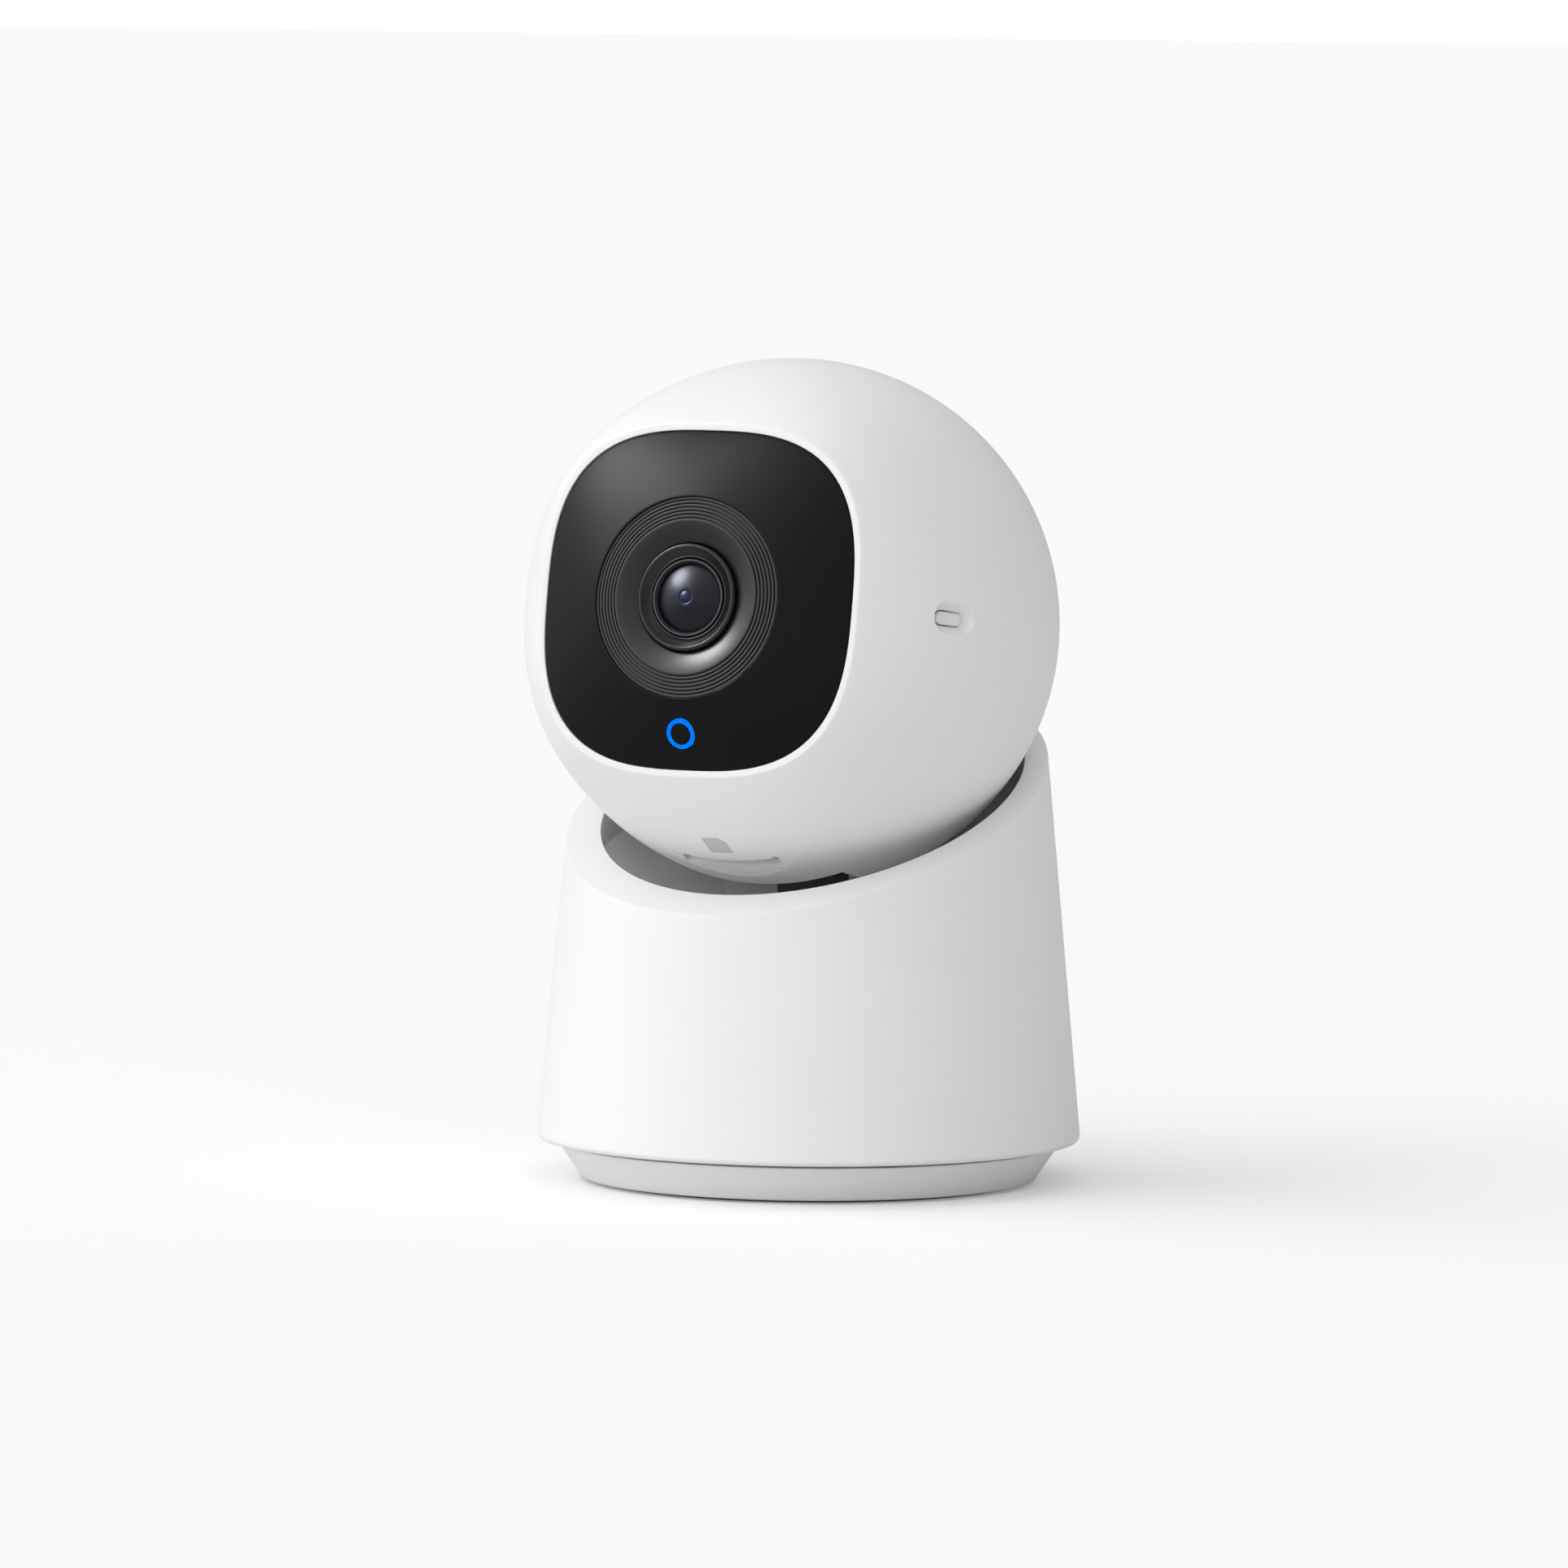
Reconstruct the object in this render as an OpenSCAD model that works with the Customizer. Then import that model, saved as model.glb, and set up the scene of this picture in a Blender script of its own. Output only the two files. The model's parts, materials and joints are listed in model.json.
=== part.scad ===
/* [Foot] */
// Radius of the foot where it meets the table
foot_r = 31.2; // [29:0.1:33]
// Outward lean of the foot's side, in degrees
foot_flare = 33.7; // [20:0.1:38]
// Height of the foot's top deck
foot_h = 5.2; // [5:0.1:6]
// Wall thickness of the foot
foot_wall = 1.8; // [1.4:0.1:2.2]
// Thickness of the rubber pad under the foot
pad_t = 1.2; // [0.8:0.1:1.4]
// Width of the rubber pad ring
pad_w = 6; // [3:0.5:9]
// Radius of the tripod thread
thread_r = 3.175; // [2.5:0.005:3.5]
// Depth of the tripod thread
thread_depth = 7; // [5:0.1:8]
// Radius of the post on which the body pans
post_r = 8; // [7:0.1:9]

/* [Body] */
// Largest outer radius of the body, just above its lower lip
base_r = 37.6; // [36:0.1:46]
// Height of the body's lower edge above the table
base_z = 5.7; // [5.5:0.1:6.5]
// Rounding of the lower lip
lip_r = 0.8; // [0.4:0.1:1.4]
// Inward lean of the body's wall, in degrees
body_taper = 5.37; // [3:0.01:6]
// Wall thickness of the body
body_wall = 2.2; // [1.8:0.1:2.6]
// Height of the slanted rim on the pan axis
rim_h = 53.35; // [50:0.05:56]
// Slope of the rim, in degrees
rim_slope = 22.3; // [16:0.1:25]
// Thickness of the rim's flange
rim_t = 2; // [1.5:0.1:2.5]

/* [Cradle] */
// Radius of the opening in the rim
cup_r = 29.2; // [28.9:0.05:30]
// Distance of the opening's centre behind the pan axis
cup_y = 0.5; // [0:0.1:1]
// Space between the head and the bowl under it
cup_gap = 5.9; // [5:0.1:6.5]
// Wall thickness of the bowl
cup_wall = 1.6; // [1.2:0.1:2]

/* [Head] */
// Radius of the ball-shaped head
head_r = 36.5; // [36:0.1:37]
// Distance of the head's centre in front of the pan axis
head_ahead = 5.75; // [5:0.05:6.5]
// Height of the head's centre
head_z = 77.15; // [76:0.05:79]
// Upward tilt of the head at rest, in degrees
head_tilt = 9.2; // [0:0.1:15]
// Wall thickness of the head
head_wall = 1.9; // [1.6:0.1:2.2]
// Distance from the head's centre to the plane of its front edge
front_z = 29.4; // [29:0.1:30]
// Half width of the rounded-square front edge
front_half = 24; // [23.6:0.1:24.6]
// Squareness of the front edge, 2 being a circle
squareness = 2.9; // [2.4:0.1:3.4]
// Distance of the seam between the two shells behind the head's centre
seam_back = 1.5; // [1:0.1:2]
// Width of the slot for the yoke in the head's underside
slot_w = 25; // [24.4:0.1:26]
// Furthest tilt of the head up from rest, in degrees
tilt_up = 53; // [40:1:53]
// Furthest tilt of the head down from rest, in degrees
tilt_down = 18; // [10:1:18]

/* [Window] */
// Half width of the dark front window
window_half = 23.05; // [22.6:0.05:23.4]
// Thickness of the window
window_t = 1.6; // [1.2:0.1:1.8]
// Radius of the window's dome
dome_r = 50; // [44:1:60]
// Distance from the head's centre to the crown of the dome
dome_z = 35; // [34.6:0.1:35.4]
// Radius of the status light's ring
status_r = 2.1; // [1.8:0.05:2.4]
// Width of the status light's ring
status_w = 0.6; // [0.4:0.05:0.8]
// Distance of the status light below the lens
status_drop = 18.4; // [17.6:0.1:18.8]

/* [Lens] */
// Radius of the stepped surround
surround_r = 13.6; // [13:0.05:14]
// Number of grooves in the surround
groove_count = 6; // [4:1:7]
// Outer radius of the surround's cone
cone_r = 10.35; // [10:0.05:10.8]
// Radius of the lens barrel's head
barrel_r = 7.3; // [7:0.05:7.6]
// Radius of the clear front lens
lens_r = 4.7; // [4:0.05:5]
// Distance from the head's centre to the front of the barrel
barrel_z = 33.3; // [33:0.1:33.6]
// Travel of the infrared filter's carrier
filter_travel = 5.5; // [5:0.1:6]

/* [Drives] */
// Module of the gears
gear_module = 0.5; // [0.5]
// Teeth of the fixed pan gear
pan_teeth = 48; // [48]
// Teeth of the pan pinion
pan_pinion_teeth = 16; // [16]
// Teeth of a full circle of the tilt gear
tilt_teeth = 50; // [50]
// Teeth of the tilt pinion
tilt_pinion_teeth = 18; // [18]
// Thickness of the gears
gear_t = 2.5; // [2:0.1:3]
// Radius of both stepping motors
motor_r = 10; // [9:0.1:10]
// Length of the pan motor's can
pan_motor_len = 11.5; // [9:0.5:11.5]
// Length of the tilt motor's can
tilt_motor_len = 13.5; // [11:0.5:13.5]
// Radius of the motor shafts
shaft_r = 1; // [0.8:0.1:1.2]
// Radius of the two pins on which the head tilts
pin_r = 2; // [1.6:0.1:2.2]

/* [Controls] */
// Length of the side button's recess
button_l = 6.1; // [5:0.1:7]
// Height of the side button's recess
button_w = 3.4; // [3:0.1:4]
// Angle of the side button round from the front, in degrees
button_angle = 62.3; // [58:0.1:66]
// Width of the memory card
card_w = 11; // [11]
// Length of the memory card
card_l = 15; // [15]
// Thickness of the memory card
card_t = 0.8; // [0.7:0.1:1]
// Width of the card slit
slit_w = 14; // [13:0.1:15]

/* [Electronics] */
// Thickness of the circuit boards
board_t = 1.2; // [1:0.1:1.6]
// Radius of the speaker
speaker_r = 12; // [10:0.5:12]
// Depth of the speaker
speaker_t = 5.5; // [4:0.5:6]
// Radius of each sound hole
sound_r = 0.7; // [0.5:0.05:0.9]
// Rings of sound holes around the middle one
sound_rings = 4; // [2:1:4]
// Width of the power socket's opening
usb_w = 9; // [9]
// Height of the power socket's opening
usb_h = 3.2; // [3.2]

/* [Hidden] */
$fn = 96;

shell_white = "white";
cradle_white = "gainsboro";
board_green = "darkgreen";
eps = 0.01;
far = 120;
run_gap = 0.05;
fit_gap = 0.1;
free_gap = 0.3;
cut_steps = 60;

// Foot
foot_z = 0.4;
foot_lean = tan(foot_flare);
plate_z = pad_t;
deck_z = foot_h - foot_wall;
plate_r = foot_r + foot_lean * foot_z - foot_wall - free_gap;
insert_r = thread_r + 1.2;
insert_z = plate_z / 2;
washer_t = base_z + fit_gap - foot_h;
floor_z = base_z + fit_gap;
floor_t = 2;
sleeve_h = 6.6;
seat_z = floor_z + sleeve_h + free_gap;
seat_r = post_r - 2.5;
foot_screw_r = 0.95;
foot_screw_ring = plate_r - pad_w - 4;

// Body
taper_run = tan(body_taper);
slope_run = tan(rim_slope);
cup_top = rim_h + slope_run * base_r;
head_c = [0, -head_ahead, head_z];
bowl_in = head_r + cup_gap;
bowl_out = bowl_in + cup_wall + 0.2;
neck_w = slot_w - 3;
neck_d = 8;
neck_wall = 1.6;
cable_x = 2.4;
cable_w = 11;
cable_h = 14;
arm_t = 3;
arm_in = neck_w / 2 - arm_t;
boss_r = 6;
bush_r = pin_r + 1.2;
flange_t = 3;
flange_top = head_z - bowl_out - 1.5;
flange_z = flange_top - flange_t;
flange_x = 36;
pillar_r = 2.8;
pillar_x = 15;
pillar_ys = [-9, 6];
m2_r = 0.95;
m2_head_r = 1.8;
m2_head_h = 1.2;

// Pan drive, whose motor stands ahead of the post
pan_gear_r = gear_module * pan_teeth / 2;
pan_pinion_r = gear_module * pan_pinion_teeth / 2;
pan_c = pan_gear_r + pan_pinion_r;
pan_motor_z = seat_z + gear_t + 1.2;
ear_t = 0.8;
ear_x = motor_r + 4;

// Tilt drive, whose motor lies above the tilt axis
tilt_gear_r = gear_module * tilt_teeth / 2;
tilt_pinion_r = gear_module * tilt_pinion_teeth / 2;
tilt_c = tilt_gear_r + tilt_pinion_r;
tilt_x = neck_w / 2;
tilt_motor_x = arm_in - 1 - tilt_motor_len;
gear_span = [18, 126];
lug_x = tilt_x + gear_t + 0.7;
lug_t = 3;
lug_r = 5;

// Head
inner_r = head_r - head_wall;
inner_half = front_half - head_wall;
neck_drop = 0.9 * head_r;
slot_front = tilt_down - head_tilt - atan((head_ahead - neck_d / 2) / neck_drop) + 1.3;
slot_back = tilt_up + head_tilt + atan((head_ahead + neck_d / 2) / neck_drop) + 1.3;
ledge_z = front_z - 3.8;
seat_depth = front_z - 2.2;
window_hole_r = surround_r + 0.08;
dome_c = dome_z - dome_r;
barrel_neck_r = 6;
lens_bore_r = 5.2;
holder_w = 20;
board_z = 14.6;
sensor_z = board_z + board_t;
frame_z = 17.6;
frame_t = 1.6;
frame_half_x = 24;
frame_half_y = 19;
frame_arm_x = 20;
frame_arm_t = 2.5;
frame_arm_back = -6;
boss_x = 21;
boss_y = 15.5;
shelf_y = 18.5;
ir_z = 23.9;
ir_half = 20.6;
led_x = 18.3;
main_z = -20;
main_w = 34;
main_h = 18;
main_y = 3;
mic_x = -13;
mic_y = 16;
card_z = board_z - 1.1;
card_end = -33.2;
socket_len = 13.5;
button_dir = [sin(button_angle), 0, cos(button_angle)];
button_inset = 0.75;

// Rear of the body
usb_z = 12.6;
pocket_w = usb_w + 4;
pocket_h = 7.2;
bezel_y = base_r - body_wall - 2.8;
speaker_z = 29.5;
speaker_y = base_r - body_wall - taper_run * (speaker_z + speaker_r - base_z) - 4.2;

function wall_r(z) = base_r - taper_run * (z - base_z - lip_r);
function polar(r, a) = [r * cos(a), r * sin(a)];
function involute(a) = tan(a) * 180 / PI - a;

// Rounded square of half width h and squareness n, with one point every few degrees
function squircle(h, n) = [for (i = [0:cut_steps - 1]) let (
    a = i * 360 / cut_steps,
    r = h / pow(pow(abs(cos(a)), n) + pow(abs(sin(a)), n), 1 / n)) polar(r, a)];

// Half angle of a gear tooth at radius r, from its half angle at the pitch radius p
function tooth_half(r, p, half) = let (base = p * cos(20))
    half + involute(20) - involute(acos(min(1, base / max(r, base))));

// Outline of one tooth that points along angle c
function tooth(c, p, m, half) = let (
    radii = [for (k = [0:4]) p - 1.25 * m + 2.25 * m * k / 4])
    concat([for (r = radii) polar(r, c - tooth_half(r, p, half))],
        [for (k = [4:-1:0]) polar(radii[k], c + tooth_half(radii[k], p, half))]);

module gear_outline(teeth, m, play = 0.14) {
    p = m * teeth / 2;
    half = 90 / teeth - play / 4 / p * 180 / PI;
    polygon([for (i = [0:teeth - 1]) each tooth(i * 360 / teeth, p, m, half)]);
}

module tube(r, hole, h) {
    difference() {
        cylinder(r = r, h = h);
        translate([0, 0, -eps]) cylinder(r = hole, h = h + 2 * eps);
    }
}

module ring_of(count, r, start = 0) {
    for (i = [0:count - 1]) rotate([0, 0, start + i * 360 / count]) translate([r, 0, 0]) children();
}

module both_sides() {
    children();
    mirror([1, 0, 0]) children();
}

// Places its children in the head: X right, Y up and Z forward from the head's centre
module in_head() {
    translate(head_c) rotate([90 - head_tilt, 0, 0]) children();
}

// Draws a YZ outline and extrudes it along X
module along_x(x, length) {
    translate([x, 0, 0]) rotate([90, 0, 90]) linear_extrude(length) children();
}

// The same in the head, where the outline's axes are forward and up
module head_along_x(x, length) {
    translate([x, 0, 0]) rotate([0, 90, 0]) linear_extrude(length) mirror([1, 0]) children();
}

module pan_head_screw(length, r = m2_r, head = m2_head_r) {
    cylinder(r = head, h = m2_head_h);
    translate([0, 0, -length]) cylinder(r = r, h = length + eps);
}

module under_rim(drop = 0) {
    translate([0, 0, rim_h - drop / cos(rim_slope)]) rotate([rim_slope, 0, 0])
        translate([-far, -far, -far]) cube([2 * far, 2 * far, far]);
}

module body_form(inset = 0) {
    r0 = base_r - inset;
    rotate_extrude() polygon(concat(
        [[0, base_z]],
        [for (a = [-90:15:0]) [r0 - lip_r + lip_r * cos(a), base_z + lip_r + lip_r * sin(a)]],
        [[wall_r(cup_top) - inset, cup_top], [0, cup_top]]));
}

// FOOT

module foot_shell() {
    color(shell_white) difference() {
        union() {
            translate([0, 0, foot_z]) cylinder(r1 = foot_r + foot_lean * foot_z,
                r2 = foot_r + foot_lean * foot_h, h = foot_h - foot_z);
            translate([0, 0, deck_z]) cylinder(r = post_r, h = seat_z - deck_z);
            translate([0, 0, deck_z]) cylinder(r = seat_r, h = seat_z + gear_t - fit_gap - deck_z);
        }
        difference() {
            translate([0, 0, foot_z - eps]) cylinder(r1 = foot_r + foot_lean * foot_z - foot_wall,
                r2 = foot_r + foot_lean * deck_z - foot_wall, h = deck_z - foot_z);
            translate([0, 0, plate_z]) cylinder(r = post_r, h = foot_h);
        }
        cylinder(r = insert_r + run_gap, h = plate_z + thread_depth + 1.5);
        translate([0, 0, seat_z - 3]) cylinder(r = 1.3, h = gear_t + 4);
        ring_of(3, foot_screw_ring, 30) translate([0, 0, deck_z - eps])
            cylinder(r = foot_screw_r + run_gap, h = foot_wall * 0.8);
    }
}

module ballast_plate() {
    color("dimgray") difference() {
        translate([0, 0, plate_z]) cylinder(r = plate_r, h = deck_z - plate_z - run_gap);
        translate([0, 0, plate_z - eps]) cylinder(r = post_r + fit_gap, h = foot_h);
        ring_of(3, foot_screw_ring, 30) {
            cylinder(r = foot_screw_r + fit_gap, h = foot_h);
            translate([0, 0, plate_z - eps]) cylinder(r = m2_head_r + fit_gap, h = m2_head_h + eps);
        }
    }
}

module rubber_pad() {
    color("gray") tube(plate_r, plate_r - pad_w, plate_z);
}

module thread_insert() {
    color("goldenrod") difference() {
        union() {
            translate([0, 0, insert_z]) cylinder(r = insert_r, h = thread_depth + 1.2);
            translate([0, 0, insert_z]) cylinder(r = insert_r + 1.2, h = plate_z - insert_z);
        }
        translate([0, 0, insert_z - eps]) cylinder(r = thread_r, h = thread_depth + eps);
    }
}

module foot_screws() {
    color("silver") ring_of(3, foot_screw_ring, 30) translate([0, 0, plate_z + m2_head_h])
        mirror([0, 0, 1]) pan_head_screw(foot_wall * 0.7 + deck_z - plate_z - m2_head_h, foot_screw_r);
}

module thrust_washer() {
    color("whitesmoke") translate([0, 0, foot_h]) tube(post_r + 12, post_r + 3, washer_t);
}

module pan_gear() {
    color("ivory") translate([0, 0, seat_z]) difference() {
        linear_extrude(gear_t) rotate([0, 0, -90]) gear_outline(pan_teeth, gear_module);
        translate([0, 0, -eps]) cylinder(r = seat_r + run_gap, h = gear_t + 2 * eps);
    }
}

module post_screw() {
    color("silver") translate([0, 0, seat_z + gear_t]) {
        cylinder(r = seat_r + 1.2, h = 0.6);
        translate([0, 0, 0.6 - eps]) cylinder(r = 2.6, h = 1.6);
        translate([0, 0, -5]) cylinder(r = 1.25, h = 5 + eps);
    }
}

// BODY

module sound_holes() {
    translate([0, 0, speaker_z]) rotate([-90, 0, 0]) {
        cylinder(r = sound_r, h = far, $fn = 24);
        for (k = [1:sound_rings]) ring_of(6 * k, 2.1 * k) cylinder(r = sound_r, h = far, $fn = 24);
    }
}

module usb_outline(w, h) {
    translate([-(w - h) / 2, -h / 2]) square([w - h, h]);
    for (s = [-1, 1]) translate([s * (w - h) / 2, 0]) circle(r = h / 2);
}

module usb_prism(w, h, y, depth) {
    translate([0, y, usb_z]) rotate([-90, 0, 0]) linear_extrude(depth) usb_outline(w, h);
}

module floor_screw_places() {
    ring_of(4, base_r - body_wall - 2.2, 45) children();
}

module body_shell() {
    color(shell_white) difference() {
        union() {
            difference() {
                intersection() {
                    body_form();
                    under_rim();
                }
                intersection() {
                    translate([0, 0, -eps]) body_form(body_wall);
                    under_rim(rim_t);
                }
                translate([0, 0, base_z - 1]) cylinder(r = base_r - body_wall, h = floor_t + 1.1);
            }
            intersection() {
                floor_screw_places() translate([0, 0, floor_z + floor_t]) cylinder(r = 2.6, h = 7);
                body_form(body_wall - eps);
            }
            intersection() {
                translate([0, cup_y, flange_top]) cylinder(r = cup_r + cup_wall, h = far);
                translate(head_c) sphere(r = bowl_in - run_gap);
                under_rim(rim_t / 2);
                body_form(body_wall / 2);
            }
        }
        translate([0, cup_y, base_z]) cylinder(r = cup_r, h = far);
        floor_screw_places() translate([0, 0, floor_z]) cylinder(r = m2_r + run_gap, h = 8, $fn = 24);
        usb_prism(pocket_w, pocket_h, base_r - 6, 10);
        sound_holes();
    }
}

module body_floor() {
    color(cradle_white) difference() {
        union() {
            translate([0, 0, floor_z]) cylinder(r = base_r - body_wall - fit_gap, h = floor_t);
            translate([0, 0, floor_z]) cylinder(r = post_r + 2.5, h = sleeve_h);
            for (y = pillar_ys, s = [-1, 1]) translate([s * pillar_x, y, floor_z])
                cylinder(r = pillar_r, h = flange_z - floor_z);
            for (s = [-1, 1]) translate([s * ear_x, -pan_c, floor_z])
                cylinder(r = 2.4, h = pan_motor_z - floor_z);
        }
        translate([0, 0, floor_z - 1]) cylinder(r = post_r + 0.07, h = far);
        for (y = pillar_ys, s = [-1, 1]) translate([s * pillar_x, y, flange_z - 8])
            cylinder(r = m2_r + run_gap, h = 9, $fn = 24);
        for (s = [-1, 1]) translate([s * ear_x, -pan_c, pan_motor_z - 6])
            cylinder(r = m2_r + run_gap, h = 7, $fn = 24);
        floor_screw_places() {
            translate([0, 0, floor_z - 1]) cylinder(r = m2_r + fit_gap, h = far, $fn = 24);
            translate([0, 0, floor_z - 1]) cylinder(r = m2_head_r + fit_gap, h = 1 + m2_head_h);
        }
        translate([0, 0, seat_z]) cylinder(r = pan_gear_r + gear_module + free_gap, h = gear_t + 2);
    }
}

module floor_screws() {
    color("silver") floor_screw_places() translate([0, 0, floor_z + m2_head_h]) mirror([0, 0, 1])
        pan_head_screw(6);
}

module cradle_bowl() {
    color(cradle_white) difference() {
        union() {
            difference() {
                intersection() {
                    translate([0, cup_y, flange_top]) cylinder(r = cup_r + cup_wall, h = far);
                    translate(head_c) sphere(r = bowl_out);
                    under_rim(rim_t + run_gap);
                    body_form(body_wall + fit_gap);
                }
                translate(head_c) sphere(r = bowl_in);
            }
            difference() {
                for (s = [-1, 1]) translate([s * pillar_x, -1.5, flange_top]) cylinder(r = 2.6, h = 5);
                translate(head_c) sphere(r = bowl_in + cup_wall / 2);
            }
        }
        translate([-neck_w / 2 - 0.6, -neck_d / 2 - 0.6, 0]) cube([neck_w + 1.2, neck_d + 1.2, far]);
        for (s = [-1, 1]) translate([s * pillar_x, -1.5, flange_top - eps])
            cylinder(r = m2_r + run_gap, h = 2.4, $fn = 24);
    }
}

// Outline of a yoke arm: the boss round the tilt axis, and the neck that leans up to it
module arm_outline() {
    knee = head_z - 2 * boss_r;
    difference() {
        union() {
            translate([-head_ahead, head_z]) circle(r = boss_r);
            polygon([[-neck_d / 2, flange_top - 1], [neck_d / 2, flange_top - 1], [neck_d / 2, knee],
                [-head_ahead + boss_r * cos(20), head_z + boss_r * sin(-20) + 0.4],
                [-head_ahead - boss_r * cos(10), head_z - boss_r * sin(10)],
                [-neck_d / 2 - 3, knee], [-neck_d / 2, knee - 6]]);
        }
        translate([-head_ahead, head_z]) circle(r = bush_r);
    }
}

module yoke() {
    neck_top = head_z - 27;
    color([0.5, 0.5, 0.5]) difference() {
        union() {
            both_sides() along_x(arm_in, arm_t) arm_outline();
            translate([-neck_w / 2 + eps, -neck_d / 2, flange_z]) cube([neck_w - 2 * eps, neck_d, neck_top - flange_z]);
            translate([-flange_x / 2, -12, flange_z]) cube([flange_x, 21, flange_t]);
        }
        translate([-neck_w / 2 + neck_wall, -neck_d / 2 + neck_wall, flange_z - 1])
            cube([neck_w - 2 * neck_wall, neck_d - 2 * neck_wall, far]);
        for (y = pillar_ys, s = [-1, 1]) translate([s * pillar_x, y, flange_z - 1])
            cylinder(r = m2_r + fit_gap, h = flange_t + 2, $fn = 24);
        for (s = [-1, 1]) translate([s * pillar_x, -1.5, flange_z - 1])
            cylinder(r = m2_r + fit_gap, h = flange_t + 2, $fn = 24);
        cable_window(-1, neck_wall + 2);
    }
}

// Window in the front of the yoke's neck, through which the head's wires are led
module cable_window(y, depth, inset = 0) {
    translate([cable_x - cable_w / 2 + inset, -neck_d / 2 + y, flange_top + 0.4 + inset])
        cube([cable_w - 2 * inset, depth, cable_h - 2 * inset]);
}

module cable_cover() {
    color([0.03, 0.03, 0.03]) cable_window(0, neck_wall - fit_gap, run_gap);
}

module tilt_gear() {
    a = gear_span;
    color("ivory") translate(head_c) along_x(tilt_x, gear_t) difference() {
        union() {
            circle(r = boss_r);
            intersection() {
                rotate([0, 0, 90]) gear_outline(tilt_teeth, gear_module);
                polygon([[0, 0], polar(30, a[0]), polar(30, (a[0] + a[1]) / 2), polar(30, a[1])]);
            }
        }
        circle(r = bush_r);
    }
}

module tilt_bushes() {
    color("burlywood") translate(head_c) both_sides() translate([arm_in, 0, 0]) rotate([0, 90, 0])
        tube(bush_r, pin_r + run_gap, arm_t + gear_t / 2);
}

module yoke_screws() {
    color("silver") {
        for (y = pillar_ys, s = [-1, 1]) translate([s * pillar_x, y, flange_top]) pan_head_screw(8);
        for (s = [-1, 1]) translate([s * pillar_x, -1.5, flange_z]) mirror([0, 0, 1])
            pan_head_screw(flange_t + 2);
    }
}

module motor_can(length) {
    cylinder(r = motor_r, h = length);
    for (s = [-1, 1]) translate([s * (motor_r - 1), 0, 0]) difference() {
        translate([s > 0 ? 0 : -6.6, -3, 0]) cube([6.6, 6, ear_t]);
        translate([s * 5, 0, -1]) cylinder(r = m2_r + fit_gap, h = 4, $fn = 24);
    }
}

module pan_motor() {
    color("lightgray") translate([0, -pan_c, pan_motor_z]) difference() {
        motor_can(pan_motor_len);
        translate([0, 0, -1]) cylinder(r = shaft_r + fit_gap, h = 5);
    }
}

module pan_motor_screws() {
    color("silver") for (s = [-1, 1]) translate([s * ear_x, -pan_c, pan_motor_z + ear_t])
        pan_head_screw(5);
}

module pan_shaft() {
    color("silver") translate([0, -pan_c, seat_z]) cylinder(r = shaft_r, h = gear_t + 4.5);
}

module pan_pinion() {
    color("ivory") translate([0, -pan_c, seat_z + 0.1]) difference() {
        linear_extrude(gear_t - 0.2) rotate([0, 0, 90 - 180 / pan_pinion_teeth])
            gear_outline(pan_pinion_teeth, gear_module);
        translate([0, 0, -eps]) cylinder(r = shaft_r, h = gear_t);
    }
}

module power_board() {
    color(board_green) translate([-15, post_r + 5, floor_z + floor_t]) cube([30, 17.5, board_t]);
}

module usb_socket() {
    z0 = floor_z + floor_t + board_t;
    color("silver") difference() {
        union() {
            usb_prism(usb_w + 0.6, usb_h + 0.6, bezel_y - 7.5, 7.5);
            translate([-3, bezel_y - 7, z0]) cube([6, 6, usb_z - z0 - usb_h / 2]);
        }
        usb_prism(usb_w, usb_h, bezel_y - 6.5, 7);
    }
    color("black") translate([-3.2, bezel_y - 6.6, usb_z - 0.35]) cube([6.4, 5.6, 0.7]);
}

module usb_bezel() {
    color("dimgray") difference() {
        usb_prism(pocket_w + 2.4, pocket_h + 1.2, bezel_y, 1);
        usb_prism(usb_w, usb_h, bezel_y - 1, 4);
    }
}

module speaker_frame() {
    color("dimgray") translate([0, speaker_y, speaker_z]) rotate([90, 0, 0]) difference() {
        cylinder(r = speaker_r, h = speaker_t);
        translate([0, 0, -eps]) cylinder(r = speaker_r - 1, h = speaker_t - 1.5);
    }
}

module speaker_cone() {
    color("black") translate([0, speaker_y - 0.4, speaker_z]) rotate([90, 0, 0]) difference() {
        cylinder(r1 = speaker_r - 1, r2 = speaker_r - 6, h = 2.4);
        translate([0, 0, -eps]) cylinder(r1 = speaker_r - 1.8, r2 = speaker_r - 6.8, h = 2);
    }
}

module speaker_gasket() {
    color("black") intersection() {
        translate([0, speaker_y + 6, speaker_z]) rotate([90, 0, 0]) tube(speaker_r, speaker_r - 1.6, 6);
        body_form(body_wall + fit_gap);
    }
}

// HEAD

// Ball that turns into a rounded square towards its front edge
module head_form(r, half, back, front, steps) {
    squash = (r * r - half * half) / (front_z * front_z);
    function level(k) = back + (front - back) * k / steps;
    module slice(z) {
        n = z > 0 ? 2 + (squareness - 2) * pow(z / front_z, 4) : 2;
        h = sqrt(max(0.01, r * r - z * z * (z > 0 ? squash : 1)));
        translate([0, 0, z]) linear_extrude(eps) polygon(squircle(h, n));
    }
    for (k = [0:steps - 1]) hull() {
        slice(level(k));
        slice(level(k + 1));
    }
}

module squircle_prism(half, z0, z1) {
    translate([0, 0, z0]) linear_extrude(z1 - z0) polygon(squircle(half, squareness));
}

// Space swept by the yoke, from ahead of the ball's lowest point round to its back
module yoke_slot() {
    head_along_x(-slot_w / 2, slot_w) polygon(concat([[0, 0]],
        [for (i = [0:8]) polar(60, -90 + slot_front - i * (slot_front + slot_back) / 8)]));
}

// Places its children on the head's side, with Z along the button's travel outwards
module on_side() {
    rotate([0, button_angle, 0]) translate([0, 0, head_r]) children();
}

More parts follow.
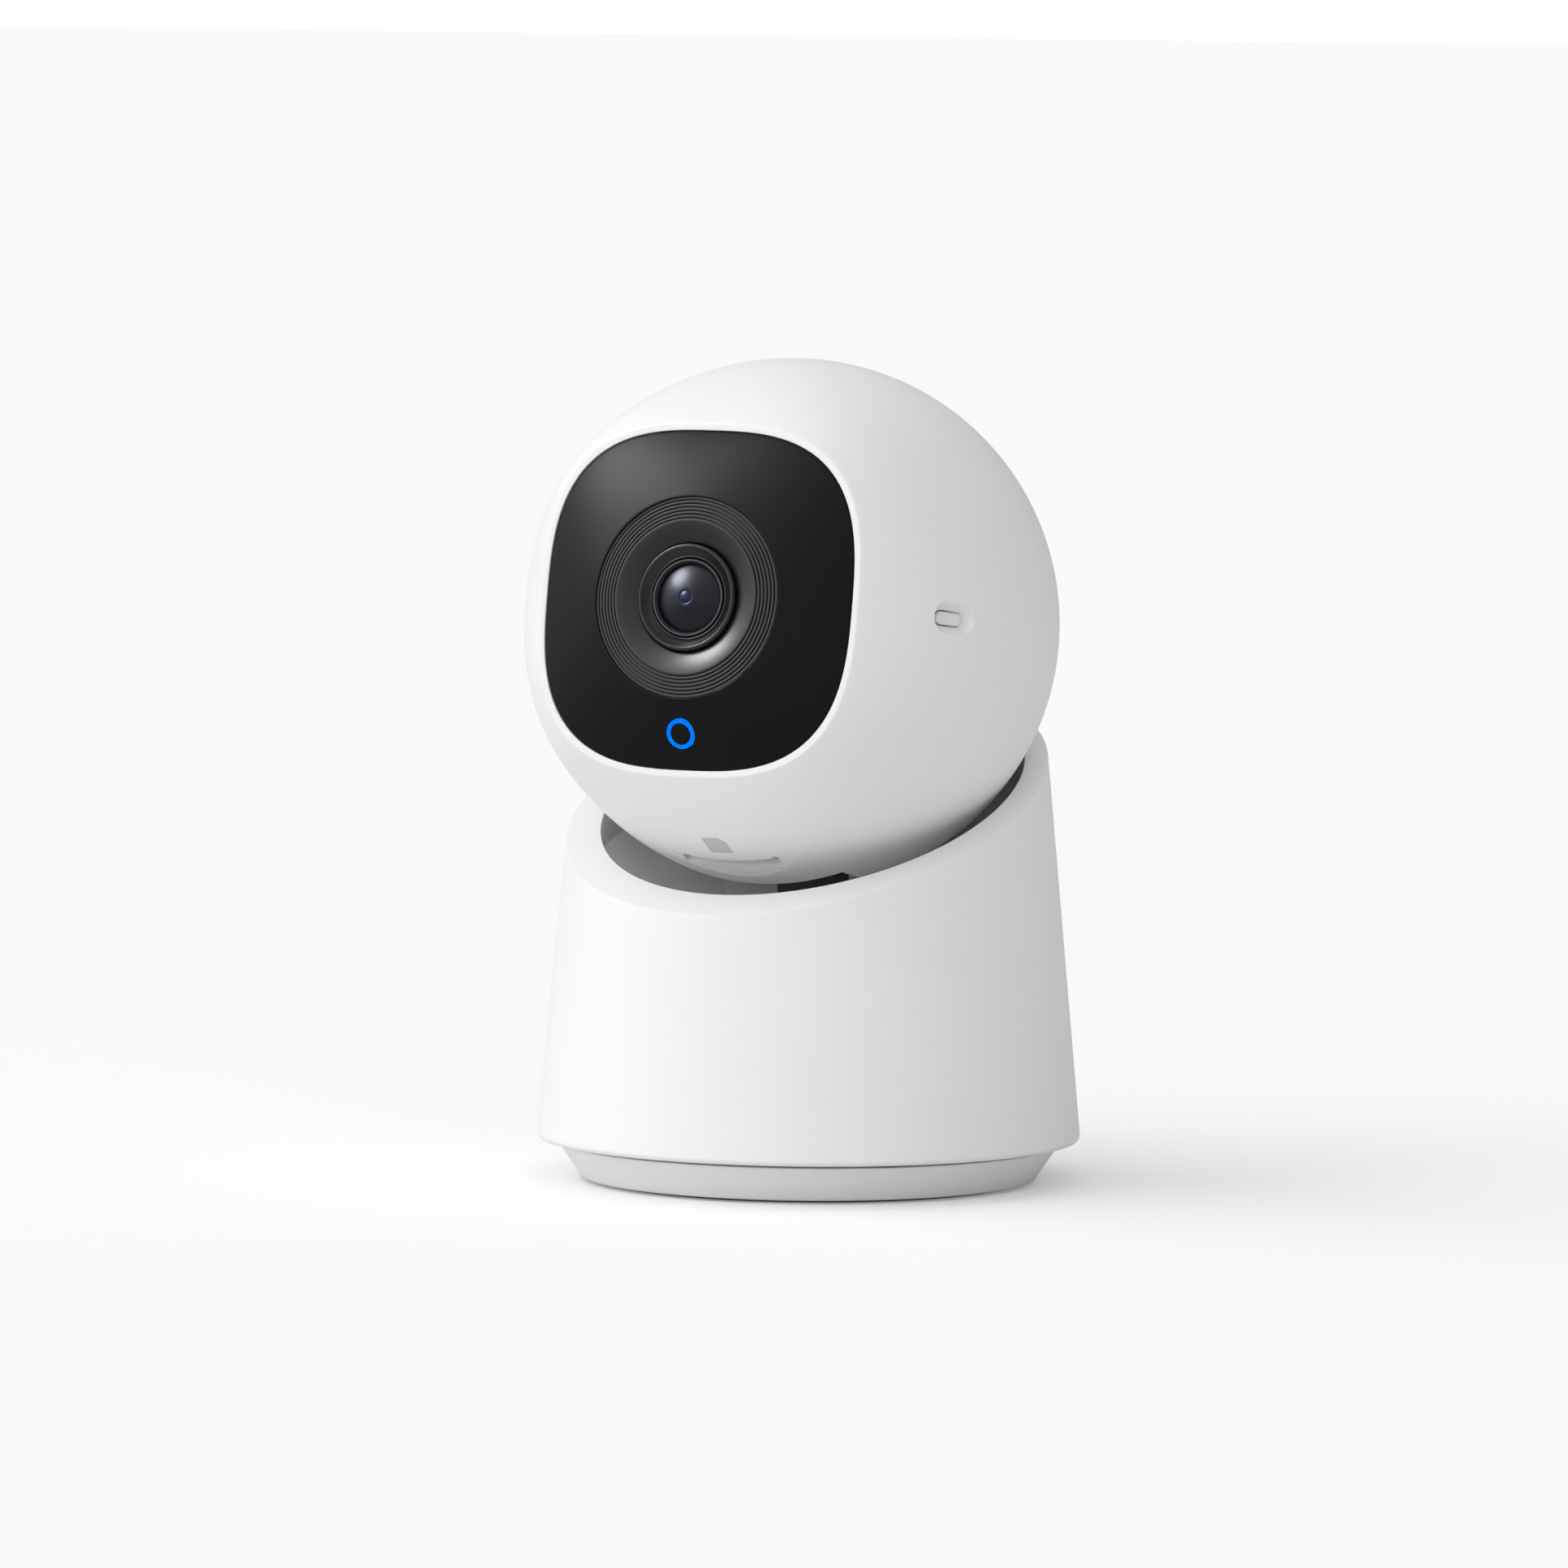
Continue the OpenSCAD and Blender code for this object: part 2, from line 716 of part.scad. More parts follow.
module pill(l, w, h) {
    linear_extrude(h) {
        translate([-(l - w) / 2, -w / 2]) square([l - w, w]);
        for (s = [-1, 1]) translate([s * (l - w) / 2, 0]) circle(r = w / 2, $fn = 32);
    }
}

module card_cuts() {
    translate([-slit_w / 2, -head_r - 1, card_z - 0.1]) cube([slit_w, 8, card_t + 0.5]);
    translate([0, -head_r - 0.6, card_z - 2.2]) rotate([0, 90, 0]) cylinder(r = 2.4, h = 9, center = true);
}

module front_shell() {
    color(shell_white) in_head() {
        difference() {
            head_form(head_r, front_half, -seam_back, front_z, 14);
            head_form(inner_r, inner_half, -seam_back - 1, ledge_z, 9);
            squircle_prism(window_half - 1.9, ledge_z - 1, front_z + 1);
            squircle_prism(window_half + 0.06, seat_depth, front_z + 1);
            yoke_slot();
            card_cuts();
            on_side() translate([0, 0, -button_inset]) pill(button_l, button_w, 4);
            on_side() translate([0, 0, -5]) pill(button_l - 1.6, button_w - 1.4, 6);
        }
        for (x = [-boss_x, boss_x], y = [-boss_y, boss_y]) translate([x, y, frame_z + frame_t]) intersection() {
            tube(2.3, 0.8, ledge_z - frame_z - frame_t + 0.5);
            translate([-x, -y, -frame_z - frame_t]) head_form(head_r - 0.5, front_half - 0.5, 12, front_z, 3);
        }
    }
}

module rear_shell() {
    color(shell_white) in_head() difference() {
        rotate([0, -90, 0]) sphere(r = head_r);
        rotate([0, -90, 0]) sphere(r = inner_r);
        translate([-far, -far, -seam_back]) cube([2 * far, 2 * far, far]);
        yoke_slot();
        translate([mic_x, mic_y, -far]) cylinder(r = 0.5, h = far, $fn = 24);
    }
}

module front_window() {
    color([0.03, 0.03, 0.035]) in_head() difference() {
        intersection() {
            squircle_prism(window_half, seat_depth, dome_z + 1);
            translate([0, 0, dome_c]) sphere(r = dome_r, $fn = 144);
        }
        translate([0, 0, dome_c]) sphere(r = dome_r - window_t, $fn = 144);
        cylinder(r = window_hole_r, h = far);
        translate([0, -status_drop, 0]) cylinder(r = status_r + 0.06, h = far, $fn = 48);
    }
}

module lens_surround() {
    top = 32.9;
    step = (surround_r - cone_r - 0.4) / groove_count;
    color([0.05, 0.05, 0.055]) in_head() rotate_extrude() polygon(concat(
        [[surround_r + 1.1, top - 3], [surround_r + 1.1, top - 2], [surround_r, top - 2], [surround_r, top]],
        [for (k = [0:groove_count - 1], p = [[0.25, 0], [0.25, -0.25], [1, -0.25], [1, 0]])
            [surround_r - step * (k + p[0]), top + p[1]]],
        [[cone_r, top], [barrel_r + 0.35, top - 2], [barrel_r + 0.35, top - 3]]));
}

module lens_barrel() {
    color([0.04, 0.04, 0.04]) in_head() rotate_extrude() polygon([
        [lens_bore_r, frame_z + 4], [barrel_neck_r, frame_z + 4], [barrel_neck_r, barrel_z - 4.2],
        [barrel_r, barrel_z - 4.2], [barrel_r, barrel_z - 0.5], [barrel_r - 0.5, barrel_z],
        [barrel_r - 0.9, barrel_z], [barrel_r - 1.1, barrel_z - 0.6], [lens_bore_r, barrel_z - 0.6]]);
}

module lens_ring() {
    color([0.02, 0.02, 0.02]) in_head() translate([0, 0, barrel_z - 1.9]) rotate_extrude() polygon([
        [lens_r + 0.02, 0], [lens_bore_r, 0], [lens_bore_r, 1.25], [lens_r + 0.3, 1.25], [lens_r + 0.02, 0.8]]);
}

module front_lens() {
    crown = 7.6;
    flat = barrel_z - 3.4;
    color([0.1, 0.12, 0.2]) in_head() intersection() {
        translate([0, 0, flat]) cylinder(r = lens_r, h = 4);
        translate([0, 0, barrel_z - 0.5 - crown]) sphere(r = crown);
    }
}

module inner_lenses() {
    color([0.3, 0.35, 0.4]) in_head() for (z = [22.5, 25.8]) translate([0, 0, z])
        cylinder(r = lens_bore_r - 0.02, h = 1.6);
}

module lens_holder() {
    color([0.06, 0.06, 0.06]) in_head() difference() {
        union() {
            translate([-holder_w / 2, -holder_w / 2 + 2, sensor_z]) cube([holder_w, holder_w - 4, 6]);
            translate([0, 0, sensor_z]) cylinder(r = barrel_neck_r + 1.4, h = 10);
        }
        translate([0, 0, sensor_z + 3]) cylinder(r = barrel_neck_r + run_gap, h = 12);
        translate([-5, -5, sensor_z - 1]) cube([10, 10, 6]);
        translate([-holder_w / 2 + 0.8, -4.3, sensor_z + 2]) cube([holder_w - 1.6, 8.6, 2.2]);
    }
}

module filter_carrier() {
    color("dimgray") in_head() translate([-filter_travel / 2, 0, sensor_z + 2.4]) difference() {
        translate([-6.2, -4, 0]) cube([12.4, 8, 1.4]);
        for (s = [-1, 1]) translate([s * filter_travel / 2 - 2.4, -2.6, -1]) cube([4.8, 5.2, 3]);
    }
}

module filter_glass() {
    color([0.6, 0.75, 0.85, 0.6]) in_head() translate([-filter_travel / 2, 0, sensor_z + 2.8])
        for (s = [-1, 1]) translate([s * filter_travel / 2 - 2.4, -2.6, 0]) cube([4.8, 5.2, 0.5]);
}

module image_sensor() {
    color([0.15, 0.2, 0.3]) in_head() translate([-4, -4, sensor_z]) cube([8, 8, 1.2]);
}

module camera_board() {
    color(board_green) in_head() translate([0, 0, board_z]) difference() {
        linear_extrude(board_t) polygon([[-17, -12.5], [-8, -12.5], [-8, -28.6], [8, -28.6], [8, -12.5],
            [17, -12.5], [17, 16], [-17, 16]]);
        for (x = [-15, 15], y = [-9, 13]) translate([x, y, -1]) cylinder(r = m2_r, h = 4, $fn = 24);
    }
}

module board_screws() {
    color("silver") in_head() for (x = [-15, 15], y = [-9, 13]) translate([x, y, board_z])
        mirror([0, 0, 1]) pan_head_screw(3.4, m2_r - run_gap);
}

module frame_side() {
    translate([frame_arm_x, -lug_r, frame_arm_back]) cube([frame_arm_t, 2 * lug_r, frame_z - frame_arm_back + eps]);
    translate([lug_x, 0, 0]) rotate([0, 90, 0]) cylinder(r = lug_r, h = frame_arm_x - lug_x + eps);
}

module head_frame() {
    tab_x = tilt_motor_x + tilt_motor_len;
    color("darkgray") in_head() difference() {
        union() {
            translate([-frame_half_x, -frame_half_y, frame_z]) cube([2 * frame_half_x, 2 * frame_half_y, frame_t]);
            both_sides() frame_side();
            for (x = [-15, 15], y = [-9, 13]) translate([x, y, sensor_z]) cylinder(r = 2, h = frame_z - sensor_z + eps);
            translate([tab_x, shelf_y, 10]) cube([1.4, 6, frame_z - 10 + eps]);
            translate([tab_x, 9, -5]) cube([1.4, 15.5, 18.5]);
            translate([tab_x, shelf_y, frame_z]) cube([1.4, 6, frame_t]);
        }
        translate([-holder_w / 2 - 0.5, -holder_w / 2 + 1.5, frame_z - 1]) cube([holder_w + 1, holder_w - 3, 5]);
        for (s = [-1, 1]) translate([s * lug_x, 0, 0]) rotate([0, s * 90, 0])
            translate([0, 0, -1]) cylinder(r = pin_r, h = frame_arm_x - lug_x + frame_arm_t + 2);
        for (x = [-boss_x, boss_x], y = [-boss_y, boss_y]) translate([x, y, frame_z - 1])
            cylinder(r = m2_r + fit_gap, h = 4, $fn = 24);
        for (x = [-15, 15], y = [-9, 13]) translate([x, y, sensor_z - 1]) cylinder(r = m2_r, h = 6, $fn = 24);
        tilt_motor_place() translate([0, 0, -3]) cylinder(r = 2.2, h = 8);
        tilt_motor_place() for (s = [-1, 1]) rotate([0, 0, 90]) translate([s * 6, 0, -3])
            cylinder(r = 0.8, h = 8, $fn = 24);
    }
}

// Puts Z along the tilt motor's shaft, at the motor's outer face
module tilt_motor_place() {
    rotate([head_tilt, 0, 0]) translate([tilt_motor_x + tilt_motor_len, tilt_c, 0]) rotate([0, 90, 0]) children();
}

// Four screws hold the frame in the rear shell, and two short ones hold the tilt motor to it
module frame_screws() {
    color("silver") in_head() {
        for (x = [-boss_x, boss_x], y = [-boss_y, boss_y])
            translate([x, y, frame_z]) mirror([0, 0, 1]) pan_head_screw(5.5, 0.75);
        tilt_motor_place() rotate([0, 0, 90]) for (s = [-1, 1])
            translate([s * 6, 0, 1.4]) pan_head_screw(1.4, 0.75, 1.3);
    }
}

module infrared_board() {
    color(board_green) in_head() difference() {
        squircle_prism(ir_half, ir_z, ir_z + board_t);
        translate([0, 0, ir_z - 1]) cylinder(r = surround_r + 1.2, h = 4);
    }
}

module infrared_leds() {
    color("lightyellow") in_head() for (s = [-1, 1]) translate([s * led_x, 0, ir_z + board_t]) {
        translate([-1.75, -1.75, 0]) cube([3.5, 3.5, 0.8]);
        translate([0, 0, 0.8 - eps]) cylinder(r = 1.3, h = 0.8, $fn = 32);
    }
}

module status_light() {
    top = dome_c + sqrt(dome_r * dome_r - status_drop * status_drop);
    color([0, 0.45, 1]) in_head() translate([0, -status_drop, ir_z + board_t + 1]) difference() {
        tube(status_r, status_r - status_w, top + 0.5 - ir_z - board_t - 1, $fn = 48);
        translate([0, status_drop, dome_c - ir_z - board_t - 1]) difference() {
            cylinder(r = far, h = far);
            sphere(r = dome_r);
        }
    }
}

module status_baffle() {
    color([0.03, 0.03, 0.03]) in_head() translate([0, -status_drop, ir_z + board_t]) difference() {
        union() {
            cylinder(r = status_r + 0.5, h = 1, $fn = 48);
            cylinder(r = status_r - status_w, h = 12, $fn = 48);
        }
        translate([0, status_drop, dome_c - ir_z - board_t]) difference() {
            cylinder(r = far, h = far);
            sphere(r = dome_r - 0.05);
        }
    }
}

module main_board() {
    color(board_green) in_head() translate([-main_w / 2, main_y, main_z]) cube([main_w, main_h, board_t]);
}

module board_chips() {
    color([0.1, 0.1, 0.1]) in_head() {
        translate([-14, main_y + 4, main_z + board_t]) cube([12, 12, 1.2]);
        translate([4, main_y + 5, main_z + board_t]) cube([9, 10, 1]);
        translate([-13, main_y + 1, main_z - 1]) cube([7, 6, 1]);
    }
}

module heat_sink() {
    color("silver") in_head() translate([-4, main_y + 2, main_z - 1.5]) {
        cube([18, 15, 1.5]);
        for (i = [0:5]) translate([i * 3.3, 0, -3]) cube([1.2, 15, 3 + eps]);
    }
}

module antenna() {
    color("goldenrod") in_head() translate([-12, main_y + main_h + 0.4, main_z - 1]) cube([24, 0.4, 9]);
}

module microphone() {
    color("gold") in_head() translate([mic_x, mic_y, main_z - 3.2]) cylinder(r = 2, h = 3.2);
}

module card_socket() {
    y0 = card_end + card_l - socket_len + 1;
    color("silver") in_head() difference() {
        translate([-card_w / 2 - 1, y0, card_z - 0.5]) cube([card_w + 2, socket_len, board_z - card_z + 0.5]);
        translate([-card_w / 2 - 0.15, y0 - 1, card_z - 0.15]) cube([card_w + 0.3, socket_len, card_t + 0.2]);
    }
}

module memory_card() {
    color([0.1, 0.1, 0.12]) in_head() translate([-card_w / 2, card_end, card_z]) linear_extrude(card_t - 0.1)
        polygon([[0, 0], [card_w, 0], [card_w, card_l - 6], [card_w - 1.3, card_l - 4.7],
            [card_w - 1.3, card_l], [0, card_l]]);
}

module side_button() {
    color(shell_white) in_head() on_side() {
        translate([0, 0, -3.4]) pill(button_l - 2.2, button_w - 2, 3.2);
        translate([0, 0, -3.4]) pill(button_l + 0.6, button_w + 0.4, 0.7);
    }
}

module button_switch() {
    color("silver") in_head() on_side() {
        translate([-3.5, -3, -7.4]) cube([7, 6, board_t]);
        translate([-2.2, -1.8, -6.2 - eps]) cube([4.4, 3.6, 1.4]);
        translate([0, 0, -4.9]) cylinder(r = 0.9, h = 0.6, $fn = 24);
    }
}

module tilt_motor() {
    color("lightgray") in_head() tilt_motor_place() difference() {
        union() {
            translate([0, 0, -tilt_motor_len]) cylinder(r = motor_r, h = tilt_motor_len);
            cylinder(r = 2, h = 1);
        }
        translate([0, 0, -5]) cylinder(r = shaft_r + fit_gap, h = 8);
    }
}

module tilt_shaft() {
    shaft_end = tilt_x + gear_t + 0.4;
    color("silver") in_head() tilt_motor_place() translate([0, 0, -3])
        cylinder(r = shaft_r, h = shaft_end - tilt_motor_x - tilt_motor_len + 3);
}

module tilt_pinion() {
    color("ivory") in_head() tilt_motor_place()
        translate([0, 0, tilt_x + 0.1 - tilt_motor_x - tilt_motor_len]) difference() {
            linear_extrude(gear_t - 0.2) rotate([0, 0, 180 / tilt_pinion_teeth - 90])
                gear_outline(tilt_pinion_teeth, gear_module);
            translate([0, 0, -1]) cylinder(r = shaft_r, h = gear_t + 2);
        }
}

module tilt_pins() {
    color("silver") in_head() for (s = [-1, 1]) rotate([0, s * 90, 0]) {
        translate([0, 0, arm_in + 0.2]) cylinder(r = pin_r, h = frame_arm_x + frame_arm_t - arm_in);
        translate([0, 0, frame_arm_x + frame_arm_t]) cylinder(r = pin_r + 1.2, h = 1);
    }
}

foot_shell();
ballast_plate();
rubber_pad();
thread_insert();
foot_screws();
thrust_washer();
pan_gear();
post_screw();
body_shell();
body_floor();
cradle_bowl();
yoke();
cable_cover();
tilt_gear();
tilt_bushes();
yoke_screws();
floor_screws();
pan_motor();
pan_motor_screws();
pan_shaft();
pan_pinion();
power_board();
usb_socket();
usb_bezel();
speaker_frame();
speaker_cone();
speaker_gasket();
front_shell();
rear_shell();
front_window();
lens_surround();
lens_barrel();
lens_ring();
front_lens();
inner_lenses();
lens_holder();
filter_carrier();
filter_glass();
image_sensor();
camera_board();
board_screws();
head_frame();
frame_screws();
infrared_board();
infrared_leds();
status_light();
status_baffle();
main_board();
board_chips();
heat_sink();
antenna();
microphone();
card_socket();
memory_card();
side_button();
button_switch();
tilt_motor();
tilt_shaft();
tilt_pinion();
tilt_pins();
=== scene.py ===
"""Looks of an indoor pan and tilt camera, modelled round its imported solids. Lengths are in metres."""
import json
import math
from contextlib import contextmanager

import bmesh
import bpy
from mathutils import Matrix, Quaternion, Vector


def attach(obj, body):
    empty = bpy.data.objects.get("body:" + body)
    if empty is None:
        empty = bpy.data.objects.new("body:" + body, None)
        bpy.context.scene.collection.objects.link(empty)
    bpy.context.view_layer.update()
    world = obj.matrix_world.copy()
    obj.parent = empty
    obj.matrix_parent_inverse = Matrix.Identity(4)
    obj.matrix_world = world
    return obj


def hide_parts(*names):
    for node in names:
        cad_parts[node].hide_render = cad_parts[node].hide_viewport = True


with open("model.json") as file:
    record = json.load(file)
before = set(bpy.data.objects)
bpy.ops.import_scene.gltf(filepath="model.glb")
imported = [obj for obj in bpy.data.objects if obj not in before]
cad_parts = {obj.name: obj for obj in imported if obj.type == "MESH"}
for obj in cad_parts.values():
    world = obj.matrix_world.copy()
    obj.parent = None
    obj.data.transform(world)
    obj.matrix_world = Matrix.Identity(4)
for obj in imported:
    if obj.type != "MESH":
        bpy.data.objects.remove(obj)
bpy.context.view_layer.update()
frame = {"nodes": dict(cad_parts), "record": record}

bl_info = {
    "name": "Pan and tilt camera",
    "version": (1, 0, 0),
    "blender": (4, 5, 0),
    "location": "3D View > Sidebar > Camera",
    "description": "Models the outer pieces of an indoor pan and tilt camera and gives every piece its finish",
    "category": "Object",
}

MM = 0.001

ROUND_STEPS = 144
FINE_STEPS = 96
WELD = 1e-7
NEAR = 0.01 * MM

# The cup and the yoke, as in the part's source
CUP_CENTRE_Y = 0.5 * MM
CUP_GAP = 5.9 * MM
CUP_WALL = 1.6 * MM
RIM_THICKNESS = 2.0 * MM
SLOT_WIDTH = 25.0 * MM
SLOT_AHEAD = math.radians(7.05)
SLOT_BEHIND = math.radians(80.0)
SEAM_BACK = 1.5 * MM
SEAM_ROUNDING = 0.1 * MM
HEAD_WALL = 1.9 * MM

# The power socket's recess and the sound holes at the back of the body
SOCKET_HEIGHT = 12.6 * MM
SOCKET_RECESS = (13.0 * MM, 7.2 * MM)
SOUND_HEIGHT = 29.5 * MM
SOUND_HOLE = 0.7 * MM
SOUND_PITCH = 2.1 * MM
SOUND_RINGS = 4

# The lens and the window, by distance ahead of the head's middle; the light, by distance below the axis
SURROUND_TOP = 32.9 * MM
GROOVES = 6
GROOVE_RISE = 0.08 * MM
BARREL_TOP = 33.3 * MM
DOME_RADIUS = 50.0 * MM
DOME_TOP = 35.0 * MM
STATUS_DROP = 18.4 * MM
FIT_GAP = 0.06 * MM

# The card slit, its scoop and the mark ahead of it, on the head's underside
SLIT_AHEAD = 14.35 * MM
SLIT_BACK = 11.3 * MM
SLIT_ENDS = (-7.6 * MM, 7.1 * MM)
SLIT_TIP = 0.85 * MM
SCOOP_DEPTH = 1.1 * MM
SCOOP_LEAN = math.radians(28.8)
MARK_CENTRE = (0.2 * MM, 18.2 * MM)
MARK_SIZE = (3.4 * MM, 3.45 * MM)


def length(name, description, default):
    """A size that a user may change, given in millimetres and kept in metres."""
    return bpy.props.FloatProperty(name=name, description=description, default=default * MM,
                                   min=0.0, unit="LENGTH", precision=5)


def turn(name, description, default):
    """An angle that a user may change, given in degrees."""
    return bpy.props.FloatProperty(name=name, description=description, default=math.radians(default),
                                   subtype="ANGLE", unit="ROTATION")


def paint(name, description, default):
    """A colour that a user may change."""
    return bpy.props.FloatVectorProperty(name=name, description=description, default=default,
                                         min=0.0, max=1.0, size=3, subtype="COLOR")


class BodySizes(bpy.types.PropertyGroup):
    """Sizes and colours of the foot and the body"""
    foot_radius: length("Foot radius", "Radius of the foot where it meets the table", 31.2)
    foot_flare: turn("Foot flare", "Outward lean of the foot's side", 33.7)
    foot_height: length("Foot height", "Height of the foot's top deck", 5.2)
    radius: length("Body radius", "Radius of the body just above its lower edge", 37.6)
    bottom: length("Body bottom", "Height of the body's lower edge", 5.7)
    lip: length("Lower edge", "Rounding of the body's lower edge", 0.8)
    taper: turn("Taper", "Inward lean of the body's side", 5.37)
    wall: length("Wall", "Thickness of the body's wall", 2.2)
    rim_height: length("Rim height", "Height of the slanted rim over the pan axis", 53.35)
    rim_slope: turn("Rim slope", "Slope of the rim", 22.3)
    rim_edge: length("Rim edge", "Rounding of the rim's outer edge", 0.75)
    cup_radius: length("Cup radius", "Radius of the opening of the cup", 29.2)
    casing: paint("Casing", "Colour of the white casings", (0.86, 0.86, 0.865))
    # Painted light: the cup's colour is lighter than the casing's white to make up for light that falls short
    # inside the cup.
    cup: paint("Cup", "Colour of the cup's lining", (0.93, 0.93, 0.93))


class HeadSizes(bpy.types.PropertyGroup):
    """Sizes and colours of the head"""
    radius: length("Head radius", "Radius of the head's ball", 36.5)
    ahead: length("Head ahead", "Distance of the head's middle ahead of the pan axis", 5.75)
    height: length("Head height", "Height of the tilt axis", 77.15)
    tilt: turn("Head tilt", "Upward tilt of the head at rest", 9.2)
    front: length("Front", "Distance of the bezel ahead of the head's middle", 29.4)
    front_half: length("Front half width", "Half width of the head at the bezel", 24.0)
    window_half: length("Window half width", "Half width of the window", 23.05)
    squareness: bpy.props.FloatProperty(name="Squareness", description="How square the window is: 2 is round",
                                        default=2.9, min=2.0, max=6.0)
    surround: length("Lens surround", "Radius of the stepped ring round the lens", 13.62)
    cone: length("Lens cone", "Radius of the cone's mouth", 10.35)
    barrel: length("Lens barrel", "Radius of the lens barrel", 7.3)
    glass: length("Lens glass", "Radius of the front lens", 4.9)
    light: length("Status light", "Outer radius of the status light", 2.1)
    light_width: length("Light width", "Width of the status light's ring", 0.6)
    button_angle: turn("Button angle", "Angle of the side button round from the front", 62.3)
    button_length: length("Button length", "Length of the button's recess", 6.1)
    button_width: length("Button width", "Height of the button's recess", 3.4)
    window: paint("Window", "Colour of the window", (0.004, 0.004, 0.0045))
    glow: paint("Glow", "Colour of the status light", (0.0, 0.16, 1.0))


# ---------------------------------------------------------------- modelling


def pick_nothing():
    """Deselects every object."""
    if bpy.context.object and bpy.context.object.mode != "OBJECT":
        bpy.ops.object.mode_set(mode="OBJECT")
    bpy.ops.object.select_all(action="DESELECT")


def pick(piece):
    """Selects one object and makes it the active one."""
    pick_nothing()
    piece.select_set(True)
    bpy.context.view_layer.objects.active = piece
    return piece


@contextmanager
def editing(piece, kind="EDGE"):
    """Edit mode on one piece, with everything in it selected."""
    pick(piece)
    bpy.ops.object.mode_set(mode="EDIT")
    bpy.ops.mesh.select_mode(type=kind)
    bpy.ops.mesh.select_all(action="SELECT")
    yield
    bpy.ops.object.mode_set(mode="OBJECT")


def choose_edges(piece, test):
    """Selects the edges both of whose ends pass the test, in edit mode."""
    bpy.ops.mesh.select_all(action="DESELECT")
    mesh = bmesh.from_edit_mesh(piece.data)
    for edge in mesh.edges:
        edge.select_set(all(test(end.co) for end in edge.verts))
    bmesh.update_edit_mesh(piece.data)


def apply_place(piece):
    """Puts the object's place into its mesh."""
    pick(piece)
    bpy.ops.object.transform_apply(location=True, rotation=True, scale=True)
    return piece


def turned(name, profile, steps=ROUND_STEPS, closed=False):
    """A round piece: one circle extruded and resized from ring to ring along (radius, height) pairs."""
    pick_nothing()
    radius, height = profile[0]
    bpy.ops.mesh.primitive_circle_add(vertices=steps, radius=radius, location=(0, 0, height))
    piece = apply_place(bpy.context.object)
    piece.name = name
    with editing(piece):
        for (r0, z0), (r1, z1) in zip(profile, profile[1:]):
            bpy.ops.mesh.extrude_region_move(TRANSFORM_OT_translate={"value": (0, 0, z1 - z0)})
            if r1 == 0:
                bpy.ops.mesh.merge(type="CENTER")
            elif r1 != r0:
                bpy.ops.transform.resize(value=(r1 / r0, r1 / r0, 1), center_override=(0, 0, z1))
        bpy.ops.mesh.select_all(action="SELECT")
        if closed:
            bpy.ops.mesh.remove_doubles(threshold=WELD)
        else:
            bpy.ops.mesh.fill_holes(sides=0)
        bpy.ops.mesh.select_all(action="SELECT")
        bpy.ops.mesh.normals_make_consistent(inside=False)
    return piece


def ball(name, radius, centre, segments=128, rings=64):
    """A sphere to shape or to cut with."""
    pick_nothing()
    bpy.ops.mesh.primitive_uv_sphere_add(segments=segments, ring_count=rings, radius=radius, location=centre)
    piece = apply_place(bpy.context.object)
    piece.name = name
    return piece


def rod(name, radius, start, depth, axis="Z", steps=ROUND_STEPS):
    """A cylinder from start along +Z or +Y or centred on X, to cut with."""
    turns = {"Z": (0, 0, 0), "Y": (-math.pi / 2, 0, 0), "X": (0, math.pi / 2, 0)}
    along = {"Z": (0, 0, depth / 2), "Y": (0, depth / 2, 0), "X": (0, 0, 0)}[axis]
    pick_nothing()
    bpy.ops.mesh.primitive_cylinder_add(vertices=steps, radius=radius, depth=depth, rotation=turns[axis],
                                        location=[a + b for a, b in zip(start, along)])
    piece = apply_place(bpy.context.object)
    piece.name = name
    return piece


def block(name, centre, size):
    """A box to cut with."""
    pick_nothing()
    bpy.ops.mesh.primitive_cube_add(size=1, location=centre)
    bpy.context.object.scale = size
    piece = apply_place(bpy.context.object)
    piece.name = name
    return piece


def slice_off(piece, point, normal, fill=True):
    """Removes what lies on the far side of a plane."""
    with editing(piece):
        bpy.ops.mesh.bisect(plane_co=point, plane_no=normal, use_fill=fill, clear_outer=True, threshold=WELD)
    return piece


def apply_modifier(piece, kind, **settings):
    """Adds one modifier to a piece and applies it."""
    pick(piece)
    modifier = piece.modifiers.new(kind.title(), kind)
    for key, value in settings.items():
        setattr(modifier, key, value)
    bpy.ops.object.modifier_apply(modifier=modifier.name)
    return piece


def carve(piece, cutter, operation="DIFFERENCE"):
    """Cuts one piece with another, which is used up."""
    apply_modifier(piece, "BOOLEAN", operation=operation, solver="EXACT", object=cutter)
    bpy.data.objects.remove(cutter)
    return piece


def join(name, pieces):
    """Makes several pieces one."""
    pick(pieces[0])
    for other in pieces[1:]:
        other.select_set(True)
    bpy.ops.object.join()
    pieces[0].name = name
    return pieces[0]


def round_edges(piece, width, test, segments=4):
    """Rounds the edges that pass the test."""
    with editing(piece):
        choose_edges(piece, test)
        bpy.ops.mesh.bevel(offset=width, offset_type="OFFSET", segments=segments, affect="EDGES",
                           clamp_overlap=True)
    return piece


def round_corners(piece, width, segments=3, angle=30):
    """Rounds every sharp edge."""
    return apply_modifier(piece, "BEVEL", width=width, segments=segments, limit_method="ANGLE",
                          angle_limit=math.radians(angle), harden_normals=False)


def move_points(piece, rule):
    """Moves each vertex to where the rule puts it."""
    for vertex in piece.data.vertices:
        vertex.co = rule(vertex.co)
    piece.data.update()
    return piece


def face_outwards(piece):
    """Welds a piece and turns its faces outwards."""
    with editing(piece):
        bpy.ops.mesh.remove_doubles(threshold=WELD)
        bpy.ops.mesh.select_all(action="SELECT")
        bpy.ops.mesh.normals_make_consistent(inside=False)
    return piece


